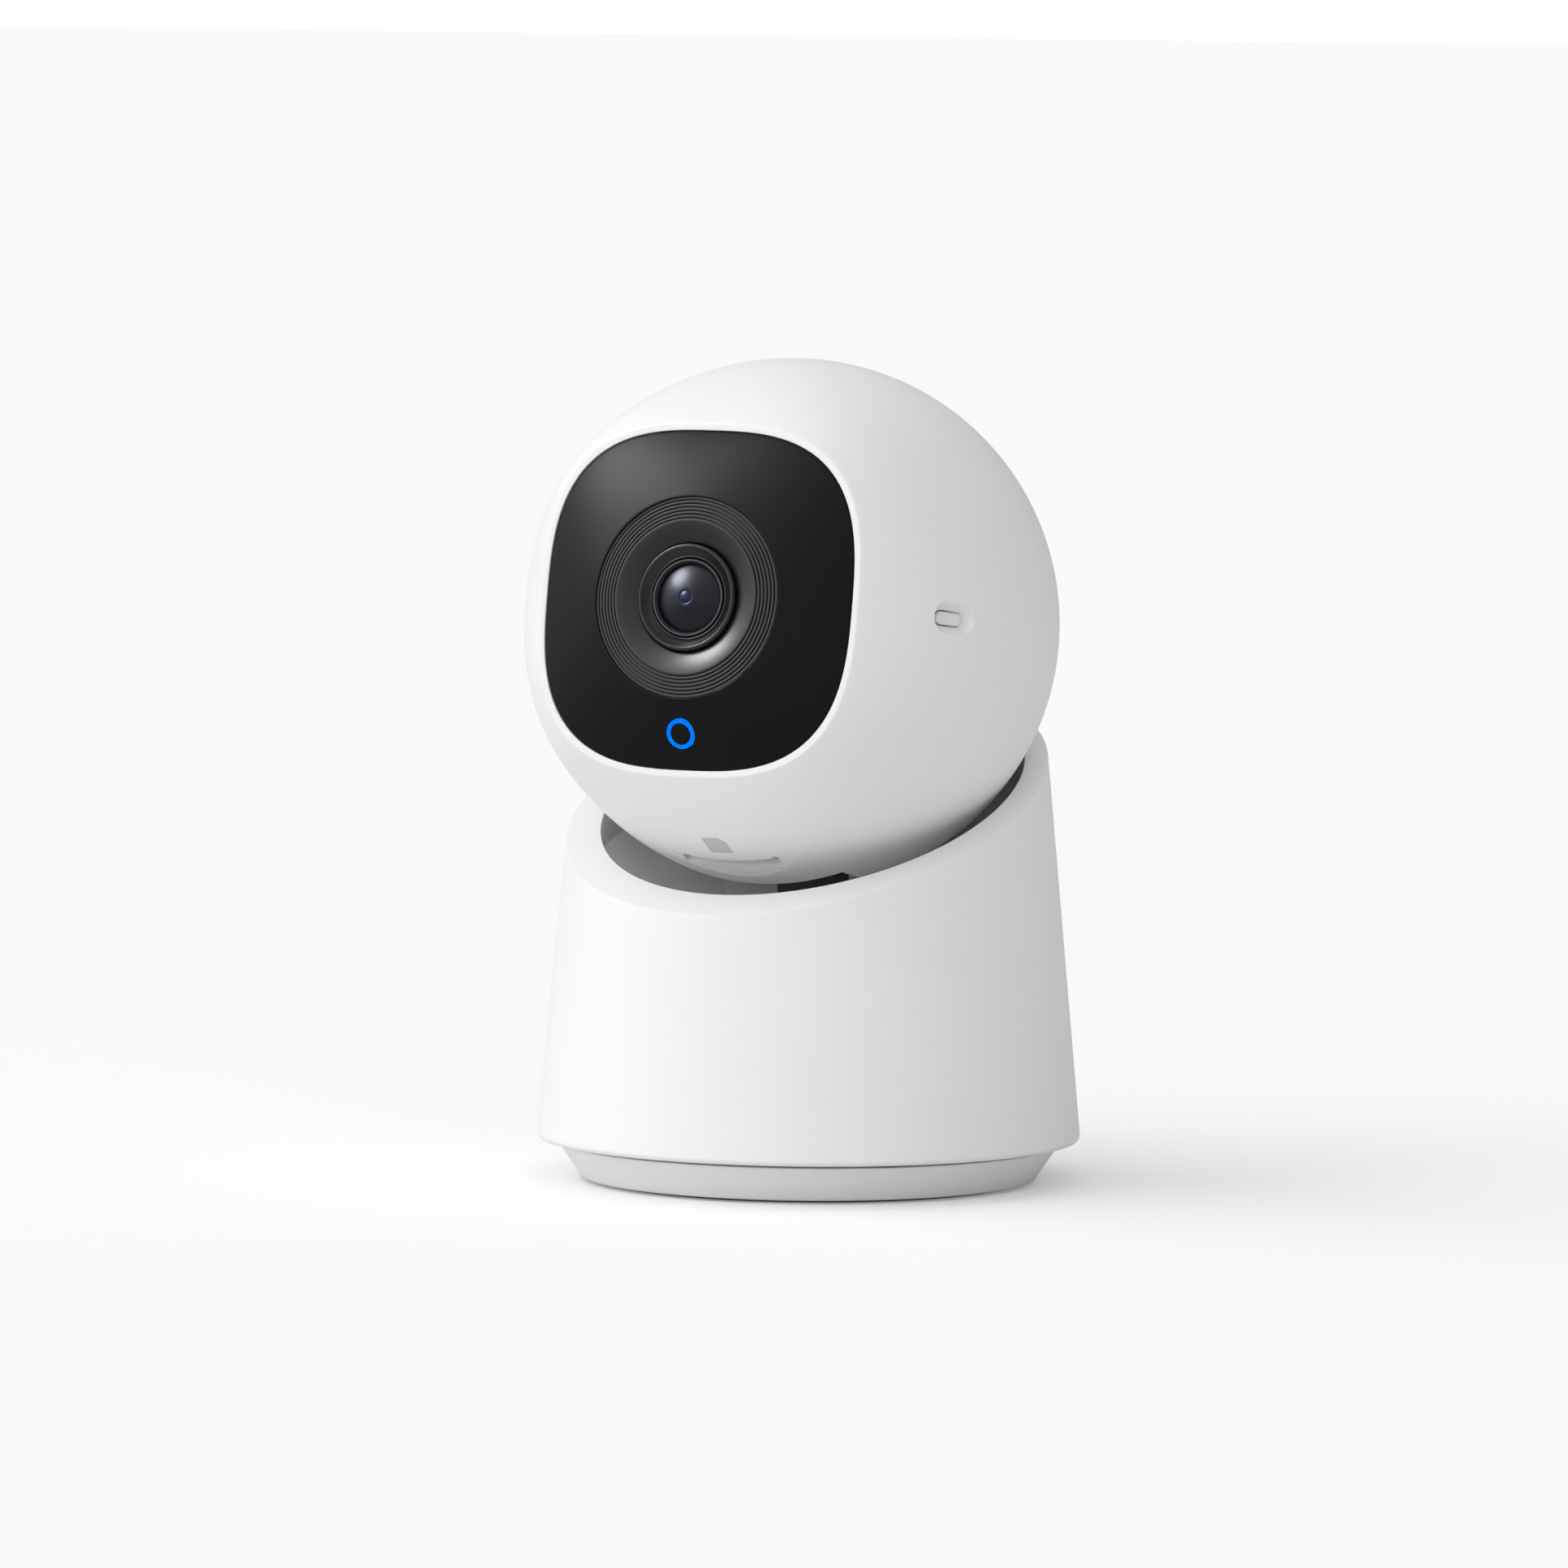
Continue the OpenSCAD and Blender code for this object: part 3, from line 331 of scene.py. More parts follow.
def pill(name, size, levels, steps=32):
    """A bar with round ends, extruded through (height, inset) levels."""
    long, wide = size
    pick_nothing()
    bpy.ops.mesh.primitive_circle_add(vertices=steps, radius=wide / 2, fill_type="NGON",
                                      location=(0, 0, levels[0][0]))
    piece = apply_place(bpy.context.object)
    piece.name = name
    half = (long - wide) / 2
    move_points(piece, lambda co: Vector((co.x + math.copysign(half, co.x) if abs(co.x) > WELD else co.x,
                                          co.y, co.z)))
    with editing(piece, "FACE"):
        inset = levels[0][1]
        if inset:
            bpy.ops.transform.resize(value=((long - 2 * inset) / long, (wide - 2 * inset) / wide, 1),
                                     center_override=(0, 0, levels[0][0]))
        for (z0, i0), (z1, i1) in zip(levels, levels[1:]):
            bpy.ops.mesh.extrude_region_move(TRANSFORM_OT_translate={"value": (0, 0, z1 - z0)})
            if i1 != i0:
                bpy.ops.transform.resize(value=((long - 2 * i1) / (long - 2 * i0),
                                                (wide - 2 * i1) / (wide - 2 * i0), 1),
                                         center_override=(0, 0, z1))
    return face_outwards(piece)


def place_in_head(piece, head):
    """Turns a piece made along +Z to face forward in the head, at rest."""
    piece.rotation_euler = (math.pi / 2 - head.tilt, 0, 0)
    piece.location = (0, -head.ahead, head.height)
    return apply_place(piece)


def smooth(piece, angle=30, weighted=False):
    """Shades a piece smooth, apart from its sharp edges; weighted keeps broad faces true beside a rounding."""
    pick(piece)
    bpy.ops.object.shade_smooth_by_angle(angle=math.radians(angle))
    if weighted:
        apply_modifier(piece, "WEIGHTED_NORMAL", weight=60, keep_sharp=True)
    return piece


def settle(piece, body, slot, finish, *nodes):
    """Gives a piece its finish, its body and the nodes it stands for."""
    piece.data.name = piece.name
    piece.data.materials.clear()
    piece.data.materials.append(finish)
    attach(piece, body)
    if nodes:
        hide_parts(*nodes)
    return piece


# ---------------------------------------------------------------- finishes


class Amount:
    """A number that varies over a surface, on which arithmetic adds Math nodes."""

    def __init__(self, finish, socket):
        self.finish = finish
        self.socket = socket

    def combine(self, operation, first, second):
        node = self.finish.node("ShaderNodeMath", {"operation": operation}, {0: first, 1: second})
        return Amount(self.finish, node.outputs[0])

    def __add__(self, other):
        return self.combine("ADD", self, other)

    def __radd__(self, other):
        return self.combine("ADD", other, self)

    def __sub__(self, other):
        return self.combine("SUBTRACT", self, other)

    def __rsub__(self, other):
        return self.combine("SUBTRACT", other, self)

    def __mul__(self, other):
        return self.combine("MULTIPLY", self, other)

    def __rmul__(self, other):
        return self.combine("MULTIPLY", other, self)

    def above(self, limit):
        return self.combine("GREATER_THAN", self, limit)


class Finish:
    """One procedural material on a Principled shader, with patterns on Object coordinates."""

    def __init__(self, name, **constants):
        self.material = bpy.data.materials.new(name)
        self.material.use_nodes = True
        self.tree = self.material.node_tree
        self.shader = next(n for n in self.tree.nodes if n.type == "BSDF_PRINCIPLED")
        self.place = self.node("ShaderNodeTexCoord").outputs["Object"]
        for key, value in constants.items():
            self.shader.inputs[key.replace("_", " ")].default_value = value

    def node(self, kind, settings=None, inputs=None):
        """Adds a node, sets it up, and gives its sockets values or links."""
        node = self.tree.nodes.new(kind)
        for key, value in (settings or {}).items():
            setattr(node, key, value)
        for key, value in (inputs or {}).items():
            self.feed(node.inputs[key], value)
        return node

    def feed(self, socket, value):
        """Links a socket, or sets it to a plain value."""
        if isinstance(value, Amount):
            value = value.socket
        if isinstance(value, bpy.types.NodeSocket):
            self.tree.links.new(value, socket)
        else:
            socket.default_value = value

    def noise(self, grain, detail=2.0, roughness=0.5, place=None):
        """Noise between 0 and 1 whose blotches are about one grain across."""
        node = self.node("ShaderNodeTexNoise", {}, {"Vector": place or self.place, "Scale": 1 / grain,
                                                    "Detail": detail, "Roughness": roughness})
        return Amount(self, node.outputs[0])

    def stretched(self, x, y, z):
        """Object coordinates scaled along each axis."""
        return self.node("ShaderNodeMapping", {}, {"Vector": self.place, "Scale": (x, y, z)}).outputs[0]

    def blend(self, factor, first, second):
        """A colour between two colours, each plain or a link."""
        first, second = (c if isinstance(c, bpy.types.NodeSocket) else (*c, 1) for c in (first, second))
        node = self.node("ShaderNodeMix", {"data_type": "RGBA"}, {0: factor, 6: first, 7: second})
        return node.outputs[2]

    def colour(self, value):
        self.feed(self.shader.inputs["Base Color"], value)

    def roughness(self, value):
        self.feed(self.shader.inputs["Roughness"], value)

    def bump(self, height, depth, strength=1.0):
        """Raises the surface by at most depth where height is 1."""
        node = self.node("ShaderNodeBump", {}, {"Height": height, "Distance": depth, "Strength": strength})
        self.feed(self.shader.inputs["Normal"], node.outputs[0])


def shade(colour, factor):
    """A colour made darker or lighter."""
    return tuple(min(1.0, c * factor) for c in colour)


def moulded(name, colour, roughness, grain=0.35 * MM, depth=0.012 * MM, **constants):
    """Moulded plastic: fine spark-eroded grain and a little unevenness in tone and gloss."""
    finish = Finish(name, **constants)
    cloud = finish.noise(14 * MM, 3.0)
    grains = finish.noise(grain, 2.0, 0.6)
    finish.colour(finish.blend(cloud, shade(colour, 0.985), shade(colour, 1.012)))
    finish.roughness(roughness - 0.03 + 0.06 * finish.noise(5 * MM) + 0.04 * grains)
    finish.bump(grains, depth)
    return finish.material


def metal(name, colour, roughness, stretch=(1, 1, 1), **constants):
    """Bare metal with rubbed or turned streaks and tarnish."""
    finish = Finish(name, Metallic=1.0, **constants)
    streak = finish.noise(0.5 * MM, 3.0, 0.6, finish.stretched(*stretch))
    tarnish = finish.noise(3 * MM, 4.0, 0.6)
    finish.colour(finish.blend(tarnish, shade(colour, 0.82), shade(colour, 1.08)))
    finish.roughness(roughness - 0.08 + 0.12 * streak + 0.08 * tarnish)
    finish.bump(streak, 0.01 * MM)
    return finish.material


def circuit(name, colour, copper):
    """Solder mask over copper tracks, with tinned pads."""
    finish = Finish(name, Coat_Weight=0.4, Coat_Roughness=0.15)
    tracks = finish.node("ShaderNodeTexBrick", {"offset": 0.35, "squash": 0.6}, {
        "Vector": finish.place, "Scale": 1 / (3.0 * MM), "Mortar Size": 0.03, "Color1": (1, 1, 1, 1),
        "Color2": (1, 1, 1, 1), "Mortar": (0, 0, 0, 1)})
    line = Amount(finish, tracks.outputs["Fac"])
    pads = finish.node("ShaderNodeTexVoronoi", {}, {"Vector": finish.place, "Scale": 1 / (1.9 * MM)})
    via = 1 - Amount(finish, pads.outputs["Distance"]).above(0.16)
    green = finish.blend(line, colour, shade(colour, 1.9))
    finish.colour(finish.blend(via, green, copper))
    finish.roughness(0.42 - 0.12 * via)
    finish.bump(line + via, 0.03 * MM)
    return finish.material


def cast_glass(name, colour, alpha, **constants):
    """Coated optical glass: clear, with a faint unevenness in its coating."""
    finish = Finish(name, Alpha=alpha, Coat_Weight=1.0, Coat_Roughness=0.02, **constants)
    coating = finish.noise(2.5 * MM, 2.0)
    finish.colour(finish.blend(coating, shade(colour, 0.8), shade(colour, 1.25)))
    finish.roughness(0.03 + 0.04 * coating)
    return finish.material


def from_axis(finish, head):
    """Distance from the lens's axis."""
    axis = finish.node("ShaderNodeMapping", {"vector_type": "TEXTURE"}, {
        "Vector": finish.place, "Location": (0, -head.ahead, head.height),
        "Rotation": (math.pi / 2 - head.tilt, 0, 0)}).outputs[0]
    apart = finish.node("ShaderNodeSeparateXYZ", {}, {0: axis})
    x, y = (Amount(finish, apart.outputs[i]) for i in (0, 1))
    square = x * x + y * y
    return square.combine("SQRT", square, 0.0)


def rings_round(finish, head, pitch):
    """Ridges that run round the lens's axis, one every pitch."""
    radius = from_axis(finish, head)
    turns = radius.combine("SINE", radius * (2 * math.pi / pitch), 0.0)
    return 0.5 + 0.5 * turns


def make_finishes(body, head):
    """Every finish on the camera, by name."""
    made = {
        "casing": moulded("casing_white", body.casing, 0.5, Specular_IOR_Level=0.28),
        # The cup's lining is painted lighter than the casing, standing in for light inside the cup.
        "cup": moulded("cup_lining_painted_light", body.cup, 0.55, Specular_IOR_Level=0.3),
        "button": moulded("button_white", shade(body.casing, 0.97), 0.4, grain=0.2 * MM, depth=0.005 * MM),
        "yoke": moulded("yoke_grey", (0.5, 0.5, 0.5), 0.5),
        "mark": moulded("card_mark_grey", (0.56, 0.56, 0.565), 0.5, grain=0.2 * MM, depth=0.004 * MM),
        "black": moulded("moulded_black", (0.018, 0.018, 0.019), 0.42, grain=0.3 * MM, depth=0.015 * MM),
        "bezel_black": moulded("socket_black", (0.02, 0.02, 0.021), 0.5, grain=0.25 * MM),
        "rubber": moulded("rubber_grey", (0.09, 0.09, 0.092), 0.82, grain=0.5 * MM, depth=0.03 * MM,
                          Specular_IOR_Level=0.25),
        "foam": moulded("foam_black", (0.02, 0.02, 0.02), 0.95, grain=0.8 * MM, depth=0.15 * MM,
                        Specular_IOR_Level=0.1),
        "paper": moulded("pressed_paper_black", (0.03, 0.03, 0.03), 0.9, grain=0.6 * MM, depth=0.05 * MM),
        "acetal": moulded("natural_acetal", (0.8, 0.78, 0.7), 0.35, grain=0.6 * MM, depth=0.006 * MM),
        "chip": moulded("chip_epoxy", (0.022, 0.022, 0.024), 0.6, grain=0.12 * MM, depth=0.006 * MM),
        "ballast": metal("zinc_plated_ballast", (0.5, 0.51, 0.53), 0.42),
        "screw": metal("zinc_plated_screw", (0.62, 0.63, 0.65), 0.33),
        "can": metal("plated_motor_can", (0.68, 0.69, 0.7), 0.3, (1, 1, 6)),
        "brass": metal("machined_brass", (0.72, 0.5, 0.2), 0.28, (1, 1, 10)),
        "stamped": metal("stamped_steel", (0.63, 0.64, 0.66), 0.3, (8, 1, 1)),
        "extruded": metal("extruded_aluminium", (0.58, 0.59, 0.61), 0.4, (1, 8, 1)),
        "gilded": metal("plated_antenna", (0.78, 0.58, 0.25), 0.3),
        "board": circuit("board_green", (0.012, 0.075, 0.035), (0.75, 0.62, 0.35)),
        "lens": cast_glass("coated_lens", (0.02, 0.022, 0.035), 0.35),
        "filter": cast_glass("filter_glass", (0.2, 0.42, 0.4), 0.4),
        "emitter": cast_glass("clear_emitter", (0.7, 0.72, 0.76), 0.5),
    }

    window = Finish("window_black", IOR=1.5, Specular_IOR_Level=0.105)
    haze = window.noise(18 * MM, 2.0)
    window.colour(window.blend(haze, shade(head.window, 0.85), shade(head.window, 1.15)))
    window.roughness(0.4 + 0.03 * haze)
    window.bump(window.noise(0.5 * MM), 0.002 * MM)
    made["window"] = window.material

    for name, colour, rough in (("cone", (0.006, 0.006, 0.007), 0.3),
                                ("barrel", (0.008, 0.008, 0.009), 0.26)):
        satin = Finish(f"turned_{name}_black", Specular_IOR_Level=0.38)
        grain = satin.noise(0.25 * MM, 2.0)
        satin.colour(satin.blend(grain, shade(colour, 0.9), shade(colour, 1.2)))
        satin.roughness(rough + 0.05 * grain + 0.22 * from_axis(satin, head).above(head.cone - 0.05 * MM))
        satin.bump(rings_round(satin, head, 0.14 * MM), 0.001 * MM)
        made[name] = satin.material

    front = Finish("front_lens_glass", IOR=1.5, Specular_IOR_Level=0.3, Specular_Tint=(0.85, 0.88, 1.0, 1.0))
    coating = front.noise(3 * MM, 2.0)
    # Painted reflection: the blue disc in the lens's middle stands in for the blue glint of the inner lens,
    # which cannot be seen through this opaque glass.
    painted_inner_reflection = 1 - from_axis(front, head).above(1.0 * MM)
    rest = front.blend(coating, (0.0015, 0.002, 0.004), (0.003, 0.004, 0.009))
    front.colour(front.blend(painted_inner_reflection, rest, (0.003, 0.003, 0.04)))
    front.roughness(0.28 + 0.04 * coating)
    made["front_lens"] = front.material

    glow = Finish("status_glow", Emission_Strength=1.0, Roughness=0.6, Specular_IOR_Level=0.0,
                  Base_Color=(0.0, 0.02, 0.1, 1.0))
    across = glow.noise(1.2 * MM, 1.0)
    glow.feed(glow.shader.inputs["Emission Color"],
              glow.blend(across, shade(head.glow, 0.92), (0.0, 0.24, 1.0)))
    made["glow"] = glow.material
    return made


NODE_FINISHES = {
    "white_shell": "casing", "cradle_white": "cup", "yoke_grey": "yoke", "black_plastic": "black",
    "window_black": "window", "cone_black": "cone", "lens_glass": "lens", "clear_light": "glow",
    "rubber_grey": "rubber",
    "ballast_steel": "ballast", "screw_steel": "screw", "motor_steel": "can", "insert_brass": "brass",
    "gear_white": "acetal", "board_green": "board", "chip_black": "chip", "socket_steel": "stamped",
    "speaker_black": "bezel_black", "cone_paper": "paper", "foam_black": "foam", "sink_alu": "extruded",
    "filter_glass": "filter", "led_clear": "emitter", "antenna_gold": "gilded", "button_white": "button",
}


# ---------------------------------------------------------------- shapes of the body and the head


def wall_radius(body, height, inset=0.0):
    """Radius of the body's side at a height."""
    return body.radius - inset - math.tan(body.taper) * (height - body.bottom - body.lip)


def body_profile(body, inset, low, high, lip):
    """(radius, height) pairs up the body's side."""
    points = []
    if lip:
        for step in range(7):
            angle = math.radians(-90 + 15 * step)
            points.append((body.radius - lip + lip * math.cos(angle),
                           body.bottom + lip + lip * math.sin(angle)))
    else:
        points.append((wall_radius(body, low, inset), low))
    levels = 16
    start = points[-1][1]
    for step in range(1, levels + 1):
        height = start + (high - start) * step / levels
        points.append((wall_radius(body, height, inset), height))
    return points


def squircle_reach(x, y, squareness):
    """How far out the rounded square of half width 1 reaches in the direction of x, y."""
    size = math.hypot(x, y)
    if size == 0:
        return 1.0
    return (abs(x / size) ** squareness + abs(y / size) ** squareness) ** (-1 / squareness)


def head_half(head, ahead):
    """Half width of the head at a distance ahead of its middle."""
    flat = (head.radius ** 2 - head.front_half ** 2) / head.front ** 2
    return math.sqrt(head.radius ** 2 - ahead ** 2 * flat)


def head_squareness(head, ahead):
    """The head turns from round to square towards its front."""
    return 2 + (head.squareness - 2) * (max(ahead, 0) / head.front) ** 4


def on_head_skin(head, point):
    """Moves a point of the ball out to the head's skin, keeping its distance ahead."""
    if point.z <= 0:
        return point
    reach = head_half(head, point.z) * squircle_reach(point.x, point.y, head_squareness(head, point.z))
    return Vector((point.x, point.y, 0)).normalized() * reach + Vector((0, 0, point.z))


def under_head(head, x, ahead):
    """The point of the head's underside at x and a distance ahead."""
    half = head_half(head, ahead)
    power = head_squareness(head, ahead)
    return Vector((x, -(half ** power - abs(x) ** power) ** (1 / power), ahead))


def yoke_wedge(head):
    """The space in the head that the yoke sweeps through, along the head's axes."""
    wedge = rod("wedge", 60 * MM, (0, 0, 0), SLOT_WIDTH, "X", FINE_STEPS)
    ahead = -math.pi / 2 + SLOT_AHEAD
    behind = -math.pi / 2 - SLOT_BEHIND
    slice_off(wedge, (0, 0, 0), (0, math.cos(ahead), -math.sin(ahead)))
    slice_off(wedge, (0, 0, 0), (0, -math.cos(behind), math.sin(behind)))
    return wedge


class CAMERA_OT_body(bpy.types.Operator):
    """Makes the tapered body with its slanted rim, cup wall, power recess and sound holes"""
    bl_idname = "camera_model.body"
    bl_label = "Body casing"

    def execute(self, context):
        body, head, finishes = context.scene.camera_body, context.scene.camera_head, FINISHES
        centre = (0, -head.ahead, head.height)
        bowl = head.radius + CUP_GAP
        up = (0, -math.sin(body.rim_slope), math.cos(body.rim_slope))
        high = 74 * MM

        casing = turned("body_casing", body_profile(body, 0, body.bottom, high, body.lip))
        slice_off(casing, (0, 0, body.rim_height), up)
        hollow = turned("hollow", body_profile(body, body.wall, body.bottom - MM, high, 0))
        slice_off(hollow, (0, 0, body.rim_height - RIM_THICKNESS / math.cos(body.rim_slope)), up)
        collar = rod("collar", body.cup_radius + CUP_WALL, (0, CUP_CENTRE_Y, 20 * MM), 70 * MM)
        carve(collar, ball("bowl", bowl - 0.05 * MM, centre), "INTERSECT")
        carve(hollow, collar)
        carve(casing, hollow)
        carve(casing, rod("mouth", body.cup_radius, (0, CUP_CENTRE_Y, 0), 90 * MM))

        slope = math.tan(body.rim_slope)

        def on_rim(point):
            return abs(point.z - body.rim_height - slope * point.y) < 0.02 * MM

        def outside(point):
            return math.hypot(point.x, point.y - CUP_CENTRE_Y) > body.cup_radius + 0.5 * MM

        round_edges(casing, body.rim_edge, lambda p: on_rim(p) and outside(p), 5)
        round_edges(casing, 0.15 * MM, lambda p: on_rim(p) and not outside(p), 3)

        recess = pill("recess", SOCKET_RECESS, [(0, 0), (12 * MM, 0)])
        recess.rotation_euler = (-math.pi / 2, 0, 0)
        recess.location = (0, body.radius - 8 * MM, SOCKET_HEIGHT)
        carve(casing, apply_place(recess))
        holes = [rod("hole", SOUND_HOLE, (0, 28 * MM, SOUND_HEIGHT), 16 * MM, "Y", 16)]
        for ring in range(1, SOUND_RINGS + 1):
            for step in range(6 * ring):
                angle = 2 * math.pi * step / (6 * ring)
                holes.append(rod("hole", SOUND_HOLE, (ring * SOUND_PITCH * math.cos(angle), 28 * MM,
                                                      SOUND_HEIGHT - ring * SOUND_PITCH * math.sin(angle)),
                                 16 * MM, "Y", 16))
        carve(casing, join("holes", holes))
        smooth(casing, 35, weighted=True)
        settle(casing, "turret", "white_shell", finishes["casing"], "body_shell")
        return {"FINISHED"}


class CAMERA_OT_foot(bpy.types.Operator):
    """Makes the flared foot with its deck and post"""
    bl_idname = "camera_model.foot"
    bl_label = "Foot casing"

    def execute(self, context):
        body = context.scene.camera_body
        lean = math.tan(body.foot_flare)
        base = 0.4 * MM
        post, pad, insert = 8.0 * MM, 1.2 * MM, 4.43 * MM
        seat = body.bottom + 0.1 * MM + 6.9 * MM
        deck = body.foot_height - 1.8 * MM
        low, top = body.foot_radius + lean * base, body.foot_radius + lean * body.foot_height
        foot = turned("foot_casing", [
            (low, base), (top, body.foot_height), (post, body.foot_height), (post, seat),
            (post - 2.5 * MM, seat), (post - 2.5 * MM, seat + 2.4 * MM), (1.3 * MM, seat + 2.4 * MM),
            (1.3 * MM, 9.7 * MM), (insert, 9.7 * MM), (insert, pad), (post, pad), (post, deck),
            (top - 3.2 * MM, deck), (low - 1.8 * MM, base), (low, base)], closed=True)
        round_corners(foot, 0.35 * MM, 3, 25)
        smooth(foot, 35, weighted=True)
        settle(foot, "foot", "white_shell", FINISHES["casing"], "foot_shell")
        return {"FINISHED"}


class CAMERA_OT_head(bpy.types.Operator):
    """Makes the two halves of the head: the front casing with its bezel, and the ball behind it"""
    bl_idname = "camera_model.head"
    bl_label = "Head casings"

    def execute(self, context):
        head = context.scene.camera_head
        self.front(head)
        self.rear(head)
        return {"FINISHED"}

    def front(self, head):
        """The casing that squares off towards its bezel, with the button's recess and the card slit."""
        seat = head.window_half + FIT_GAP
        shell = ball("front_casing", head.radius, (0, 0, 0), 192, 120)
        slice_off(shell, (0, 0, head.front), (0, 0, 1), fill=False)
        slice_off(shell, (0, 0, -SEAM_BACK), (0, 0, -1), fill=False)
        move_points(shell, lambda point: on_head_skin(head, point))
        ledge = head.window_half - 1.9 * MM
        with editing(shell):
            choose_edges(shell, lambda p: p.z > head.front - NEAR)
            half = head.front_half
            for target, drop in ((seat, 0), (seat, -2.2 * MM), (ledge, 0), (ledge, -1.6 * MM)):
                bpy.ops.mesh.extrude_region_move(TRANSFORM_OT_translate={"value": (0, 0, drop)})
                if target != half:
                    bpy.ops.transform.resize(value=(target / half, target / half, 1),
                                             center_override=(0, 0, head.front))
                half = target
            bpy.ops.mesh.select_all(action="SELECT")
            bpy.ops.mesh.normals_make_consistent(inside=False)

        def half_at(point):
            return math.hypot(point.x, point.y) / squircle_reach(point.x, point.y, head.squareness)

        def on_bezel(point):
            return abs(point.z - head.front) < NEAR

        round_edges(shell, 0.16 * MM, lambda p: on_bezel(p) and half_at(p) > head.front_half - 0.1 * MM, 3)
        round_edges(shell, 0.12 * MM, lambda p: on_bezel(p) and half_at(p) < seat + 0.1 * MM, 3)
        wall = shell.vertex_groups.new(name="wall")
        for vertex in shell.data.vertices:
            lip = half_at(vertex.co) < head.front_half - 0.3 * MM and vertex.co.z > head.front - 5 * MM
            full = 0.0 if lip else min(1.0, max(0.0, (head.front - 2 * MM - vertex.co.z) / (5 * MM)))
            wall.add([vertex.index], full, "REPLACE")
        apply_modifier(shell, "SOLIDIFY", thickness=HEAD_WALL, offset=-1.0, vertex_group="wall",
                       thickness_vertex_group=0.36)
        self.ease_seam(shell, head)
        carve(shell, yoke_wedge(head))

        recess = pill("recess", (head.button_length, head.button_width),
                      [(1.0 * MM, -0.75 * MM), (0, -0.2 * MM), (-1.45 * MM, 0.7 * MM)], 40)
        through = pill("through", (4.5 * MM, 1.95 * MM), [(1.0 * MM, 0), (-6 * MM, 0)], 32)
        for cutter in (recess, through):
            self.beside(cutter, head)
            carve(shell, cutter)
        self.slit(shell, head)
        place_in_head(shell, head)
        smooth(shell, 35, weighted=True)
        settle(shell, "head", "white_shell", FINISHES["casing"], "front_shell")

    @staticmethod
    def ease_seam(shell, head):
        """Rounds the outer edge where the two halves of the head meet."""
        round_edges(shell, SEAM_ROUNDING, lambda p: abs(p.z + SEAM_BACK) < NEAR
                    and p.to_2d().length > head.radius - 0.2 * MM, 2)

    @staticmethod
    def beside(piece, head):
        """Moves a piece from the head's middle out to the side button's place."""
        angle = head.button_angle
        piece.rotation_euler = (0, angle, 0)
        piece.location = (head.radius * math.sin(angle), 0, head.radius * math.cos(angle))
        return apply_place(piece)

    @staticmethod
    def slit(shell, head):
        """Cuts the card slit, its pointed ends and the shallow finger scoop behind it."""
        left, right = SLIT_ENDS
        carve(shell, block("slot", ((left + right) / 2, -head.radius + 3.5 * MM, (SLIT_AHEAD + SLIT_BACK) / 2),
                           (right - left, 6 * MM, SLIT_AHEAD - SLIT_BACK)))
        for side in SLIT_ENDS:
            tip = rod("tip", SLIT_TIP, (side, 0, 0), 6 * MM, "Z", 3)
            tip.rotation_euler = (math.pi / 2, 0, 0)
            tip.location = (0, -31.2 * MM, SLIT_AHEAD - 0.35 * MM)
            carve(shell, apply_place(tip))
        scoop = block("scoop", (0, -head.radius + SCOOP_DEPTH - 2 * MM, 0), (20 * MM, 4 * MM, 20 * MM))
        scoop.rotation_euler = (-SCOOP_LEAN, 0, 0)
        apply_place(scoop)
        slice_off(scoop, (0, 0, SLIT_AHEAD), (0, 0, 1))
        carve(shell, scoop)

    def rear(self, head):
        """The ball behind, with the hole of the microphone."""
        shell = ball("rear_casing", head.radius, (0, 0, 0), 192, 120)
        slice_off(shell, (0, 0, -SEAM_BACK), (0, 0, 1), fill=False)
        apply_modifier(shell, "SOLIDIFY", thickness=HEAD_WALL, offset=-1.0)
        self.ease_seam(shell, head)
        carve(shell, yoke_wedge(head))
        carve(shell, rod("sound", 0.5 * MM, (-13 * MM, 16 * MM, -50 * MM), 50 * MM, "Z", 24))
        place_in_head(shell, head)
        smooth(shell, 35, weighted=True)
        settle(shell, "head", "white_shell", FINISHES["casing"], "rear_shell")


class CAMERA_OT_card_mark(bpy.types.Operator):
    """Makes the card-shaped mark ahead of the card slit, and the cap of the side button"""
    bl_idname = "camera_model.details"
    bl_label = "Card mark and button"

    def execute(self, context):
        head = context.scene.camera_head
        pick_nothing()
        bpy.ops.mesh.primitive_grid_add(x_subdivisions=24, y_subdivisions=20, size=1,
                                        location=(*MARK_CENTRE, 0))
        bpy.context.object.scale = (*MARK_SIZE, 1)
        mark = apply_place(bpy.context.object)
        mark.name = "card_mark"
        slice_off(mark, (1.2 * MM, 19.7 * MM, 0), (1, 1, 0), fill=False)
        move_points(mark, lambda p: under_head(head, p.x, p.y) * (1 + 0.02 * MM / head.radius))
        face_outwards(mark)
        inward = -1.0 if mark.data.polygons[0].normal.y < 0 else 1.0
        apply_modifier(mark, "SOLIDIFY", thickness=0.1 * MM, offset=inward)
        face_outwards(mark)
        place_in_head(mark, head)
        smooth(mark)
        settle(mark, "head", "white_shell", FINISHES["mark"])

        button = pill("button_cap", (4.3 * MM, 1.8 * MM),
                      [(-3.2 * MM, 0), (-1.2 * MM, 0), (-1.0 * MM, 0.2 * MM)], 40)
        CAMERA_OT_head.beside(button, head)
        place_in_head(button, head)
        round_corners(button, 0.06 * MM, 2)
        smooth(button)
        settle(button, "button", "button_white", FINISHES["button"], "side_button")
        return {"FINISHED"}


